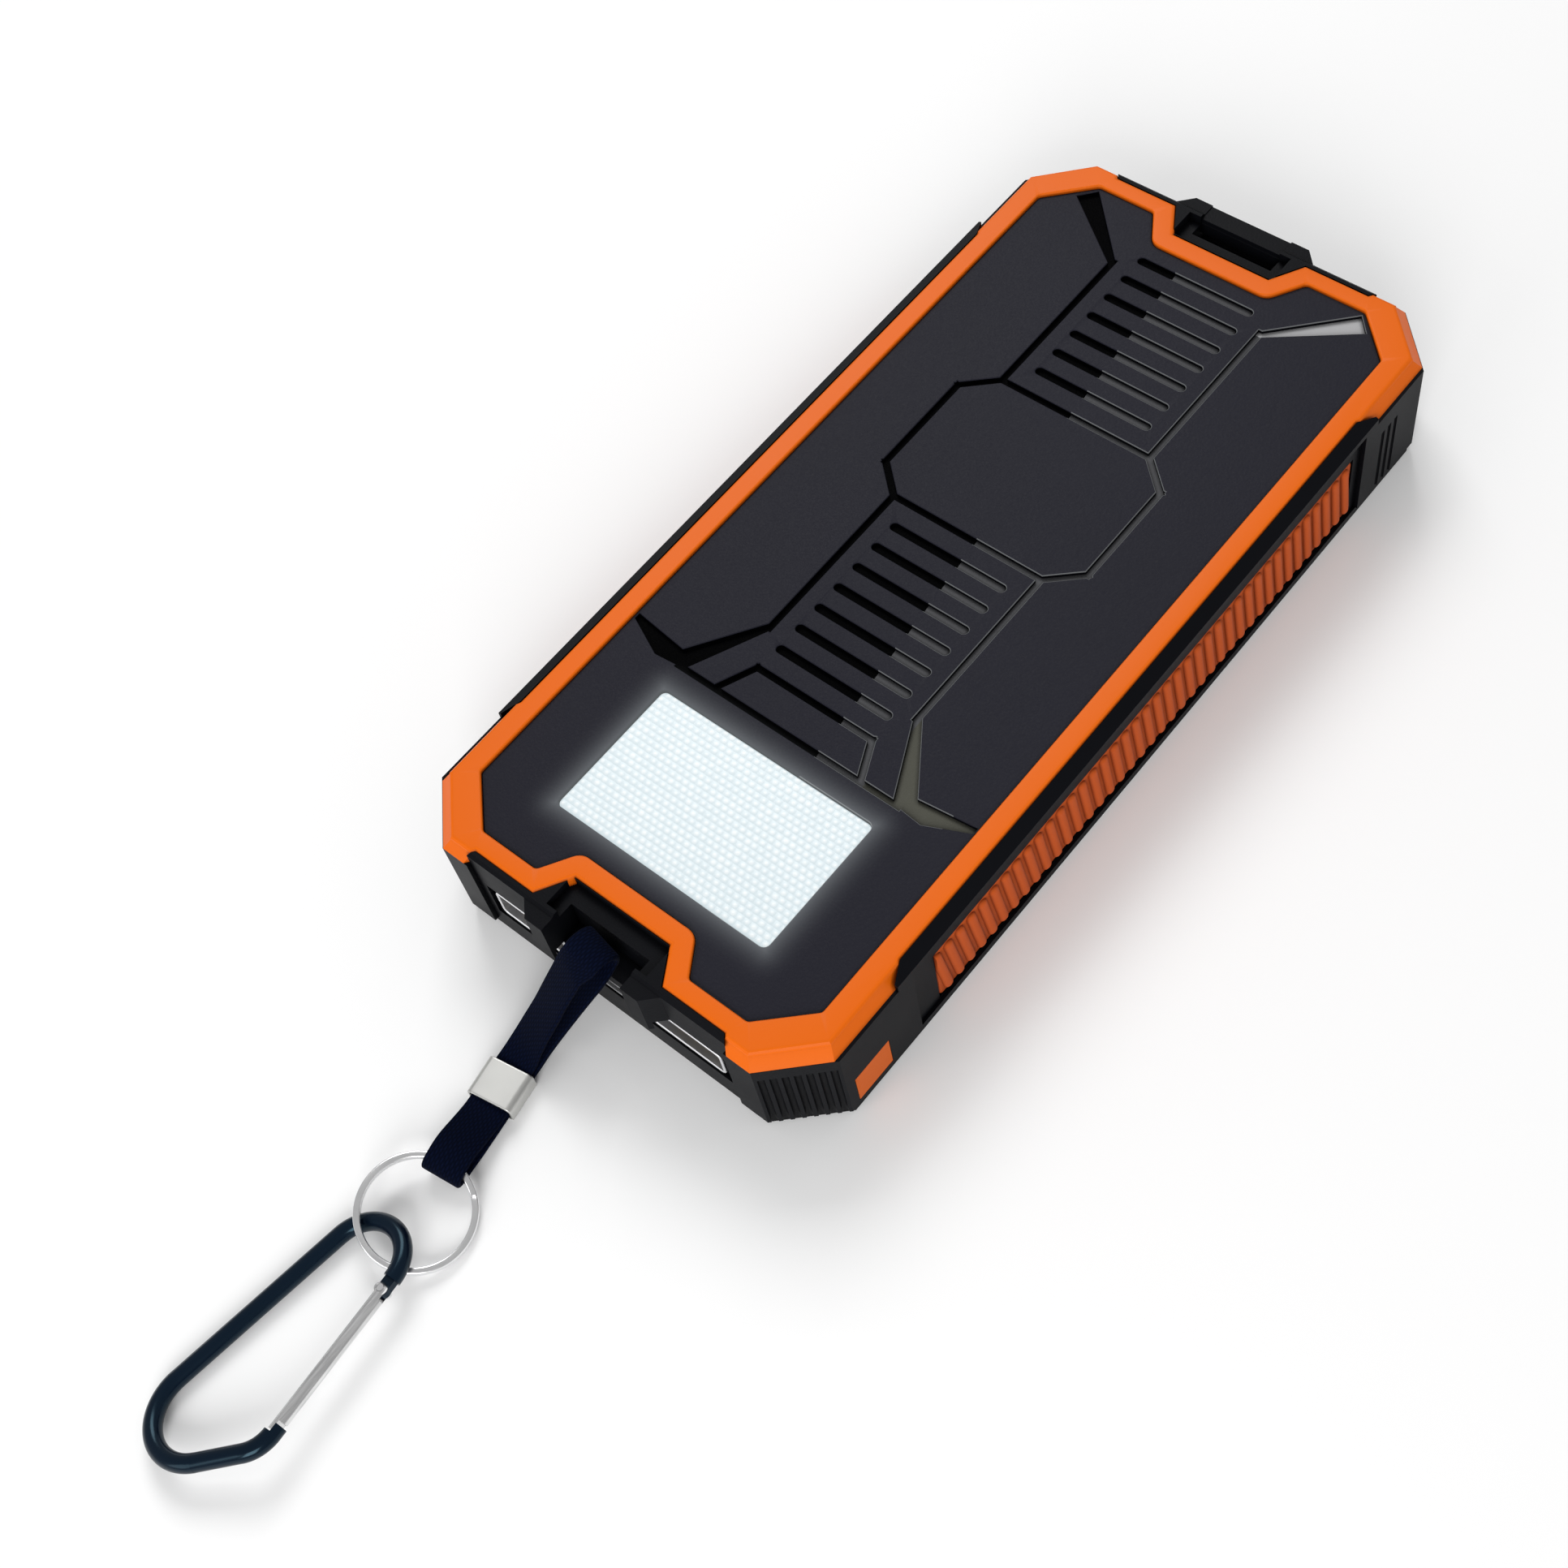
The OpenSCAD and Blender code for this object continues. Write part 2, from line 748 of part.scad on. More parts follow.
module main_board() {
    color([0.05, 0.3, 0.15]) difference() {
        block([-board_half_w, board_near_y, board_z], [board_half_w, board_far_y, board_top]);
        for (s = [-1, 1])
            block([s * usb_x - usb_w / 2 - 0.2, -80, 0],
                [s * usb_x + usb_w / 2 + 0.2, port_y + usb_depth + 0.2, 20]);
        for (p = screw_spots)
            translate([p[0], p[1], 0]) cylinder(h = 20, r = post_r + 0.3);
        // corners of the board follow the cut corners of the case
        for (s = [-1, 1])
            translate([s * board_half_w, board_near_y, 0])
                rotate(45)
                    cube([9, 9, 40], center = true);
    }
}

module board_chips() {
    color([0.12, 0.12, 0.13]) {
        block([-3.5, -56, board_top], [3.5, -49, board_top + 1]);
        block([8, -46, board_top], [13, -41, board_top + 1]);
        block([-26, -50, board_top], [-21, -45, board_top + 1]);
        block([-6, -46, board_top], [-2, -42.5, board_top + 1.6]);
        for (i = [0:5])
            block([-14 + i * 3, -60, board_top], [-12.4 + i * 3, -59.2, board_top + 0.5]);
    }
}

module power_coil() {
    color([0.25, 0.25, 0.27])
        block([16, -56, board_top], [23, -49, board_top + 3]);
}

module usb_shell(x) {
    difference() {
        block([x - usb_w / 2, port_y, usb_z - usb_h / 2],
            [x + usb_w / 2, port_y + usb_depth, usb_z + usb_h / 2]);
        block([x - usb_w / 2 + usb_wall, port_y - 1, usb_z - usb_h / 2 + usb_wall],
            [x + usb_w / 2 - usb_wall, port_y + usb_depth - usb_wall,
                usb_z + usb_h / 2 - usb_wall]);
    }
}

module usb_shell_left() {
    color([0.8, 0.8, 0.82]) usb_shell(-usb_x);
}

module usb_shell_right() {
    color([0.8, 0.8, 0.82]) usb_shell(usb_x);
}

tongue_low = 0.2;
tongue_t = 1.8;

module usb_tongue(x) {
    block([x - 5.55, port_y + 0.9, usb_z + tongue_low],
        [x + 5.55, port_y + usb_depth - 4, usb_z + tongue_low + tongue_t]);
    block([x - usb_w / 2 + usb_wall + 0.02, port_y + usb_depth - 4.2,
            usb_z - usb_h / 2 + usb_wall + 0.02],
        [x + usb_w / 2 - usb_wall - 0.02, port_y + usb_depth - usb_wall - 0.02,
            usb_z + usb_h / 2 - usb_wall - 0.02]);
}

module usb_tongue_left() {
    color([0.12, 0.12, 0.13]) usb_tongue(-usb_x);
}

module usb_tongue_right() {
    color([0.12, 0.12, 0.13]) usb_tongue(usb_x);
}

module usb_contacts() {
    color([0.85, 0.7, 0.3])
        for (s = [-1, 1], i = [-1.5:1:1.5])
            block([s * usb_x + i * 2.3 - 0.5, port_y + 1.4, usb_z + tongue_low - 0.15],
                [s * usb_x + i * 2.3 + 0.5, port_y + 8.4, usb_z + tongue_low]);
}

// Micro socket: a shell with its lower corners cut
module micro_outline(inset) {
    w = micro_w / 2 - inset;
    h = micro_h / 2 - inset;
    polygon([[-w, h], [w, h], [w, -h + 1], [w - 1.1, -h], [-w + 1.1, -h], [-w, -h + 1]]);
}

module micro_usb_shell() {
    color([0.8, 0.8, 0.82])
        translate([0, port_y + micro_depth, micro_z])
            rotate([90, 0, 0])
                difference() {
                    linear_extrude(micro_depth) micro_outline(0);
                    translate([0, 0, 0.3]) linear_extrude(micro_depth) micro_outline(0.3);
                }
}

module micro_usb_tongue() {
    color([0.12, 0.12, 0.13]) {
        block([-2.7, port_y + 0.6, micro_z + 0.05], [2.7, port_y + 5, micro_z + 0.65]);
        block([-2.4, port_y + 4.2, micro_z - 1], [2.4, port_y + micro_depth - 0.35, micro_z + 1]);
    }
}

module status_lights() {
    color([0.6, 0.75, 0.95])
        for (i = [-2:2])
            translate([i * 4, light_y, 0.3]) cylinder(h = 4.2, r = light_r);
}

// Pouch cell with its folded end
module pouch(z) {
    block([-cell_w / 2, cell_y - cell_l / 2 + 2, z], [cell_w / 2, cell_y + cell_l / 2, z + cell_t]);
    block([-cell_w / 2 + 3, cell_y - cell_l / 2, z + 1.5],
        [cell_w / 2 - 3, cell_y - cell_l / 2 + 2, z + 3.5]);
}

module battery_lower() {
    color([0.75, 0.76, 0.78]) pouch(cell_z);
}

module battery_upper() {
    color([0.75, 0.76, 0.78]) pouch(cell_z + cell_t + 0.2);
}

module battery_pad() {
    color([0.2, 0.2, 0.2])
        block([-22, cell_y - 32, cell_z + 2 * cell_t + 0.2], [22, cell_y + 32, flange_z]);
}

module battery_leads() {
    color([0.8, 0.1, 0.1])
        for (x = [-8, 8])
            wire([[x, -29, 6.1], [x, -32, 6.1], [x, -34, 10], [x, -38, 10],
                [x, -38, board_top]], 0.6);
}

module solar_leads() {
    color([0.1, 0.1, 0.1])
        for (s = [-1, 1])
            rod([s * 4, -60, solar_top], [s * 4, -60, board_z], 0.5);
}

module lamp_leads() {
    color([0.9, 0.9, 0.9])
        for (s = [-1, 1])
            rod([s * 17, -42, board_top], [s * 17, -42, 12.9], 0.5);
}

module case_screws() {
    color([0.6, 0.6, 0.62])
        for (p = screw_spots)
            translate([p[0], p[1], head_z]) {
                cylinder(h = head_h, r = head_r);
                translate([0, 0, head_h]) cylinder(h = 8, r = screw_r);
            }
}

// Direction of the route at a point, from its neighbours
function place(i) = [route[i][0], route[i][1], route[i][2]];
function unit(v) = v / norm(v);
function heading(i) = unit(place(min(i + 1, route_last)) - place(max(i - 1, 0)));

// Sideways direction of the strap, level at first and rolled with the ring at its end
function roll(i) = strap_roll * max(0, i - roll_from) / (route_last - roll_from);
function level(i) = unit(cross([0, 0, 1], heading(i)));
function side(i) = i == 0 ? [1, 0, 0] :
    level(i) * cos(roll(i)) - unit(cross(heading(i), level(i))) * sin(-roll(i));
function over(i) = unit(cross(heading(i), side(i)));

// One ring of the strap: its middle, its outward direction and its sideways direction
function lay_up(i) = [place(i) + over(i) * route[i][3], over(i), side(i)];
function lay_down(i) = [place(i) - over(i) * route[i][3], -over(i), side(i)];
function turn_at(i, way, a) = [
    place(i) + route[i][3] * (over(i) * cos(a) + way * heading(i) * sin(a)),
    over(i) * cos(a) + way * heading(i) * sin(a),
    side(i)
];

strap_rings = concat(
    [for (i = [0:route_last]) lay_up(i)],
    [for (k = [1:loop_steps - 1]) turn_at(route_last, 1, 180 * k / loop_steps)],
    [for (i = [route_last:-1:0]) lay_down(i)],
    [for (k = [loop_steps - 1:-1:1]) turn_at(0, -1, 180 * k / loop_steps)]
);

// Eight points of the strap's flat section: across its width and through its thickness
strap_section = [
    [1, 0.25], [0.93, 0.5], [-0.93, 0.5], [-1, 0.25], [-1, -0.25], [-0.93, -0.5], [0.93, -0.5],
    [1, -0.25]
];

module lanyard_strap() {
    n = len(strap_rings);
    m = len(strap_section);
    points = [for (r = strap_rings, p = strap_section)
        r[0] + r[2] * p[0] * strap_w / 2 + r[1] * p[1] * strap_t];
    faces = [for (i = [0:n - 1], j = [0:m - 1], half = [0, 1])
        let (a = i * m + j, b = i * m + (j + 1) % m,
            c = ((i + 1) % n) * m + (j + 1) % m, d = ((i + 1) % n) * m + j)
        half == 0 ? [a, b, c] : [a, c, d]];
    color([0.02, 0.03, 0.1]) polyhedron(points, faces);
}

// Folded metal clamp that holds both layers of the strap together
module strap_clamp() {
    inner_w = strap_w + 0.5;
    inner_h = 2.5;
    color([0.75, 0.75, 0.76])
        translate(clamp_at)
            rotate(ring_heading)
                difference() {
                    cube([inner_w + 2 * clamp_wall, clamp_l, inner_h + 2 * clamp_wall - 0.2],
                        center = true);
                    cube([inner_w, clamp_l + 2, inner_h], center = true);
                }
}

// Split ring, lying with its left side raised
module key_ring() {
    half_t = ring_wire_h / 2;
    half_r = ring_wire_w / 2;
    cut = 0.3;
    color([0.8, 0.8, 0.82])
        translate(ring_grip)
            rotate([0, 0, ring_heading])
                rotate([0, ring_tilt, 0])
                    translate([0, -ring_r, 0])
                        rotate_extrude($fn = 96)
                            translate([ring_r, 0])
                                polygon([
                                    [half_r, half_t - cut],
                                    [half_r - cut, half_t],
                                    [cut - half_r, half_t],
                                    [-half_r, half_t - cut],
                                    [-half_r, cut - half_t],
                                    [cut - half_r, -half_t],
                                    [half_r - cut, -half_t],
                                    [half_r, cut - half_t]
                                ]);
}

module place_carabiner() {
    translate(carabiner_at)
        rotate([0, 0, carabiner_heading])
            rotate([carabiner_pitch, -carabiner_tilt, 0])
                children();
}

// Round bend of the wire about a centre, from one angle to another
module bend(c, r, from, to) {
    translate([c[0], c[1], 0])
        rotate(from)
            rotate_extrude(angle = to - from, $fn = 96)
                translate([r, 0]) circle(r = wire_r, $fn = 32);
}

// Straight wire between two points, run a little way into the bends at both ends
module straight(a, b) {
    run = 0.1 * (b - a) / norm(b - a);
    rod([a[0] - run[0], a[1] - run[1], 0], [b[0] + run[0], b[1] + run[1], 0], wire_r - eps);
}

// Places children at a point on the gate's line, with +Y along the gate towards its nose
module on_gate(at) {
    translate([at[0], at[1], 0]) rotate(gate_lean - 180) children();
}

module carabiner_body() {
    tang_w = 2;
    color([0.08, 0.1, 0.18]) place_carabiner() {
        bend(top_c, top_r, gate_turn, 180);
        straight([0, heel_c[1]], [0, spine_l]);
        bend(heel_c, heel_r, 180, 360 + foot_turn);
        straight(heel_c + heel_r * aim(foot_turn), nose_c + nose_r * aim(foot_turn));
        bend(nose_c, nose_r, foot_turn, gate_turn);
        // tang that the gate turns on
        difference() {
            union() {
                on_gate(gate_from)
                    translate([0.1 - tang_w / 2, -0.2, -tang_t / 2])
                        cube([tang_w - 0.2, pivot_drop + 0.2, tang_t]);
                on_gate(pivot)
                    translate([0, 0, -tang_t / 2]) cylinder(h = tang_t, r = tang_w / 2);
            }
            on_gate(pivot) translate([0, 0, -2]) cylinder(h = 4, r = pin_r);
        }
        // lip that stops the gate on its outer side
        intersection() {
            on_gate(gate_to)
                translate([0, -nose_reach, 0]) rotate([-90, 0, 0])
                    cylinder(h = nose_reach + 0.1, r = wire_r - eps, $fn = 32);
            on_gate(gate_to) translate([-3 - 0.35, -3, -3]) cube([3, 6, 6]);
        }
    }
}

module carabiner_gate() {
    fork_gap = tang_t + 0.1;
    color([0.78, 0.78, 0.8]) place_carabiner() on_gate(pivot) difference() {
        union() {
            rotate([-90, 0, 0]) cylinder(h = gate_l, r = gate_r, $fn = 32);
            intersection() {
                translate([0, 0, -gate_r]) cylinder(h = 2 * gate_r, r = gate_r);
                rotate([0, 90, 0]) cylinder(h = 4, r = gate_r, center = true);
            }
        }
        translate([-3, -3, -fork_gap / 2]) cube([6, 3 + 1.4, fork_gap]);
        translate([0, 0, -3]) cylinder(h = 6, r = pin_r + 0.05);
        // bore of the spring
        rotate([-90, 0, 0]) cylinder(h = 9, r = 0.6);
        // step that meets the lip on the body
        translate([-3 - 0.25, gate_l - nose_reach - 0.2, -3]) cube([3, 3, 6]);
    }
}

module gate_pin() {
    color([0.7, 0.7, 0.72]) place_carabiner() on_gate(pivot)
        translate([0, 0, -gate_r]) cylinder(h = 2 * gate_r, r = pin_r);
}

// Coil spring inside the gate
module gate_spring() {
    turns = 7;
    coil_r = 0.4;
    coil_wire = 0.12;
    steps = 12;
    pitch = 0.9;
    sides = 6;
    n = turns * steps;
    mid = [for (i = [0:n])
        let (a = 360 * i / steps) [coil_r * cos(a), 1.9 + pitch * i / steps, coil_r * sin(a)]];
    points = [for (i = [0:n], j = [0:sides - 1])
        let (a = 360 * i / steps, b = 360 * j / sides)
        mid[i] + coil_wire * [cos(a) * cos(b), sin(b), sin(a) * cos(b)]];
    faces = concat(
        [for (i = [0:n - 1], j = [0:sides - 1], half = [0, 1])
            let (a = i * sides + j, b = i * sides + (j + 1) % sides)
            half == 0 ? [a, b, b + sides] : [a, b + sides, a + sides]],
        [[for (j = [sides - 1:-1:0]) j]],
        [[for (j = [0:sides - 1]) n * sides + j]]
    );
    color([0.7, 0.7, 0.72]) place_carabiner() on_gate(pivot) polyhedron(points, faces);
}

case_frame();
front_cover();
back_panel();
back_bezel();
case_seal();
grip_left();
grip_right();
power_button();
switch_stem();
switch_body();
lamp_window();
lamp_reflector();
lamp_board();
lamp_leds();
solar_sheet();
solar_cells();
solar_ribbons();
solar_board();
main_board();
board_chips();
power_coil();
usb_shell_left();
usb_shell_right();
usb_tongue_left();
usb_tongue_right();
usb_contacts();
micro_usb_shell();
micro_usb_tongue();
status_lights();
battery_lower();
battery_upper();
battery_pad();
battery_leads();
solar_leads();
lamp_leads();
case_screws();
lanyard_strap();
strap_clamp();
key_ring();
carabiner_body();
carabiner_gate();
gate_pin();
gate_spring();
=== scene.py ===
"""Solar power bank with a lamp panel, ribbed grips, USB sockets and a strap lanyard.

Run as a script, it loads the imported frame, makes the finished pieces and sets the stage.
All sizes are in metres in the object's own frame: +X towards the button, +Y away from the
ports, +Z up out of the lamp side, with the table at z = 0.
"""

from functools import wraps
from math import cos, pi, radians, sin

import bmesh
import bpy
import numpy as np
from mathutils import Matrix, Vector, geometry


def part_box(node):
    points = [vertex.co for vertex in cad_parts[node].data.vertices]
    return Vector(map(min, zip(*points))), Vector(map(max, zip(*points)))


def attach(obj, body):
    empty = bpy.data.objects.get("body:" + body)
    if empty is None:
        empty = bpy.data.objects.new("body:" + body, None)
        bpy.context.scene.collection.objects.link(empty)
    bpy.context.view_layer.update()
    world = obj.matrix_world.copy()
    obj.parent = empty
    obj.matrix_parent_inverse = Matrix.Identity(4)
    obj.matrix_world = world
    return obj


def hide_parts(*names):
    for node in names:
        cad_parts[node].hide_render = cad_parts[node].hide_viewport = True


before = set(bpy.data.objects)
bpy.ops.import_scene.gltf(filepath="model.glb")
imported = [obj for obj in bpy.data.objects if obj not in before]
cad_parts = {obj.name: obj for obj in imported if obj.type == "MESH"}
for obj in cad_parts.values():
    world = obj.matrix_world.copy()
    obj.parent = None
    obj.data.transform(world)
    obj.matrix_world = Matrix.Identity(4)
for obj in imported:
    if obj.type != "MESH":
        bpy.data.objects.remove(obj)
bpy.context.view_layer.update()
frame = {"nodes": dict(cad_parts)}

bl_info = {
    "name": "Solar power bank",
    "version": (1, 0, 0),
    "blender": (4, 5, 0),
    "location": "3D View > Sidebar > Power bank",
    "description": "Finished pieces of a rugged solar power bank around its packed frame",
    "category": "Object",
}

MM = 0.001
SLIVER = 0.00001


# ---------------------------------------------------------------- sizes and colours


def length(name, default, description, **more):
    """A length property in metres."""
    return bpy.props.FloatProperty(
        name=name, default=default, description=description, unit="LENGTH", precision=5, **more
    )


def colour(name, default, description):
    """A colour property, in linear light."""
    return bpy.props.FloatVectorProperty(
        name=name, default=default, description=description, subtype="COLOR", size=3,
        min=0.0, max=1.0,
    )


class FinishSettings(bpy.types.PropertyGroup):
    panel: colour("Back panel", (0.0125, 0.0125, 0.0195), "Dark slate plastic of the back panel")
    frame: colour("Frame", (0.0035, 0.0038, 0.0052), "Black plastic of the walls and corners")
    bezel: colour("Bezel", (0.76, 0.132, 0.004), "Satin orange of the bezel")
    grip: colour("Grips", (0.50, 0.080, 0.010), "Orange rubber of the side grips")
    strap: colour("Strap", (0.0012, 0.0026, 0.0105), "Dark navy yarn of the strap")
    lamp: colour("Lamp", (0.72, 0.83, 0.87), "Light of the lamp window")
    carabiner: colour("Carabiner", (0.0015, 0.004, 0.011), "Dark anodised carabiner")


class EdgeSettings(bpy.types.PropertyGroup):
    panel: length("Panel edges", 0.00015, "Radius of the edges in the panel's relief")
    bezel: length("Bezel inner edge", 0.00035, "Radius of the bezel's edge to the panel")
    bezel_outer: length("Bezel outer edge", 0.0007, "Radius of the bezel's edge to the walls")
    lamp: length("Lamp edge", 0.0002, "Radius of the lamp window's edge")


class GripSettings(bpy.types.PropertyGroup):
    ribs: bpy.props.IntProperty(
        name="Ribs", default=40, min=10, max=60, description="Ribs on each side grip"
    )
    lean: bpy.props.FloatProperty(
        name="Lean", default=radians(8.5), subtype="ANGLE",
        description="Lean of the ribs towards the far end at their lower ends",
    )
    radius: length("Rib radius", 0.0009, "Radius of a rib's rounded top")


class LanyardSettings(bpy.types.PropertyGroup):
    width: length("Strap width", 0.006, "Width of the woven strap")
    thickness: length("Strap thickness", 0.0008, "Thickness of one layer of the strap")
    roll: bpy.props.FloatProperty(
        name="Roll", default=radians(-13.5), subtype="ANGLE",
        description="Roll of the strap where it meets the key ring",
    )
    ring_radius: length("Ring radius", 0.0079, "Radius of the key ring to its wire's middle")
    ring_width: length("Ring wire width", 0.001, "Width of the key ring's flat wire")
    ring_thickness: length(
        "Ring wire thickness", 0.00068, "Thickness of one turn of the key ring's wire"
    )


class StageSettings(bpy.types.PropertyGroup):
    lens: bpy.props.FloatProperty(
        name="Lens", default=50.93, unit="CAMERA", description="Focal length of the camera"
    )
    camera: bpy.props.FloatVectorProperty(
        name="Camera", default=(0.13144, -0.13855, 0.27824), subtype="TRANSLATION",
        unit="LENGTH", description="Place of the camera",
    )
    aim: bpy.props.FloatVectorProperty(
        name="Aim", default=(-0.41647642, 0.31885, -0.85140012), subtype="DIRECTION",
        description="Direction in which the camera looks",
    )
    up: bpy.props.FloatVectorProperty(
        name="Up", default=(-0.49898765, 0.70265624, 0.50723321), subtype="DIRECTION",
        description="Direction that is up for the camera",
    )


def settings(group):
    """The scene's property group of that name."""
    return getattr(bpy.context.scene, "power_bank_" + group)


# ---------------------------------------------------------------- meshes


def link_mesh(name, points, faces, material=None, sharp=35.0, uv=None, outward=False):
    """Object from points (n, 3), faces of point numbers and uv (n, 2), shaded smooth with
    edges sharper than an angle kept crisp. A closed surface can be turned outward."""
    mesh = bpy.data.meshes.new(name)
    faces = faces if isinstance(faces, list) else faces.tolist()
    mesh.from_pydata(np.asarray(points, float).tolist(), [], faces)
    if uv is not None:
        layer = mesh.uv_layers.new(name="Surface")
        loops = np.zeros(len(mesh.loops), int)
        mesh.loops.foreach_get("vertex_index", loops)
        layer.data.foreach_set("uv", np.asarray(uv, float)[loops].ravel())
    if outward:
        face_outward(mesh)
    mesh.update()
    mesh.validate()
    mesh.polygons.foreach_set("use_smooth", np.ones(len(mesh.polygons), bool))
    mesh.set_sharp_from_angle(angle=radians(sharp))
    obj = bpy.data.objects.new(name, mesh)
    bpy.context.scene.collection.objects.link(obj)
    if material is not None:
        mesh.materials.append(material)
    return obj


def face_outward(mesh):
    """Turns the faces of a closed surface outward."""
    work = bmesh.new()
    work.from_mesh(mesh)
    bmesh.ops.recalc_face_normals(work, faces=work.faces)
    work.to_mesh(mesh)
    work.free()



def grid_faces(rows, columns, close_rows=False, close_columns=False, start=0):
    """Quads of a grid of points in row order, joined end to end where it closes."""
    r = np.arange(rows if close_rows else rows - 1)
    c = np.arange(columns if close_columns else columns - 1)
    r, c = np.meshgrid(r, c, indexing="ij")
    r2, c2 = (r + 1) % rows, (c + 1) % columns
    quads = np.stack([r * columns + c, r * columns + c2, r2 * columns + c2, r2 * columns + c], -1)
    return quads.reshape(-1, 4) + start


def unit(v):
    """Vectors scaled to length one along the last axis."""
    v = np.asarray(v, float)
    return v / np.linalg.norm(v, axis=-1, keepdims=True)


def smooth_path(points, count):
    """Natural cubic spline through points (any number of columns), at even chord steps."""
    points = np.asarray(points, float)
    t = np.r_[0, np.cumsum(np.linalg.norm(np.diff(points[:, :3], axis=0), axis=1))]
    h = np.diff(t)
    n = len(points)
    a = np.zeros((n, n))
    b = np.zeros((n, points.shape[1]))
    a[0, 0] = a[-1, -1] = 1.0
    i = np.arange(1, n - 1)
    a[i, i - 1], a[i, i], a[i, i + 1] = h[:-1], 2 * (h[:-1] + h[1:]), h[1:]
    slope = np.diff(points, axis=0) / h[:, None]
    b[1:-1] = 6 * np.diff(slope, axis=0)
    m = np.linalg.solve(a, b)
    s = np.linspace(0, t[-1], count)
    k = np.clip(np.searchsorted(t, s, side="right") - 1, 0, n - 2)
    d = (s - t[k])[:, None]
    hk = h[k][:, None]
    c1 = slope[k] - hk * (2 * m[k] + m[k + 1]) / 6
    return points[k] + c1 * d + m[k] * d**2 / 2 + (m[k + 1] - m[k]) * d**3 / (6 * hk)


def rounded_outline(half_w, half_h, radius, steps=6):
    """Closed outline of a rectangle with round corners: quarter arcs at its four corners."""
    a = np.linspace(0, pi / 2, steps)
    arc = radius * np.stack([np.cos(a), np.sin(a)], -1)
    corner = np.array([half_w - radius, half_h - radius])
    quarter = corner + arc
    second = quarter[::-1] * [-1, 1]
    return np.concatenate([quarter, second, -quarter, -second])


def hoop(outline):
    """Outline (x, z) as a path round the Y axis, with its outward directions and that axis."""
    def upright(flat):
        return np.stack([flat[:, 0], np.zeros(len(flat)), flat[:, 1]], -1)

    ahead = np.roll(outline, -1, 0) - np.roll(outline, 1, 0)
    out = unit(np.stack([ahead[:, 1], -ahead[:, 0]], -1))
    along = np.repeat([[0.0, 1.0, 0.0]], len(outline), 0)
    return upright(outline), upright(out), along


def sweep(path, across, over, section):
    """Profile carried along a path: point = path + across * section x + over * section y.
    section is (m, 2), or (n, m, 2) where it changes along the path."""
    section = np.broadcast_to(section, (len(path),) + np.shape(section)[-2:])
    return (
        path[:, None]
        + across[:, None] * section[..., :1]
        + over[:, None] * section[..., 1:]
    )


def merged_arrays(node):
    """Points and triangles of a CAD node's mesh with its doubles merged."""
    work = bmesh.new()
    work.from_mesh(frame["nodes"][node].data)
    bmesh.ops.remove_doubles(work, verts=work.verts, dist=2e-6)
    bmesh.ops.triangulate(work, faces=work.faces)
    made = bpy.data.meshes.new(node)
    work.to_mesh(made)
    work.free()
    points = np.zeros(len(made.vertices) * 3)
    corners = np.zeros(len(made.loops), int)
    made.vertices.foreach_get("co", points)
    made.loops.foreach_get("vertex_index", corners)
    bpy.data.meshes.remove(made)
    return points.reshape(-1, 3), corners.reshape(-1, 3)


def copied(node, name, points, faces, material, sharp):
    """Piece that replaces a CAD node, with flat faces kept flat where they run into rounds."""
    obj = link_mesh(name, points, faces, material, sharp)
    weigh = obj.modifiers.new("Even normals", "WEIGHTED_NORMAL")
    weigh.keep_sharp = True
    weigh.weight = 100
    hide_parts(node)
    return obj


def finished_copy(node, name, material, sharp=30.0):
    """A CAD node's surface with its doubles merged and its round parts shaded smooth."""
    return copied(node, name, *merged_arrays(node), material, sharp)


def finished(obj, body):
    """Rides on a body."""
    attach(obj, body)
    return obj


def inside(places, starts, stops):
    """Even-odd test of places (n, 2) against an outline given as its edges."""
    x, y = places[:, :1], places[:, 1:]
    rises = (starts[:, 1] > y) != (stops[:, 1] > y)
    run = np.where(stops[:, 1] == starts[:, 1], 1.0, stops[:, 1] - starts[:, 1])
    cross = starts[:, 0] + (y - starts[:, 1]) * (stops[:, 0] - starts[:, 0]) / run
    return (rises & (x < cross)).sum(1) % 2 == 1


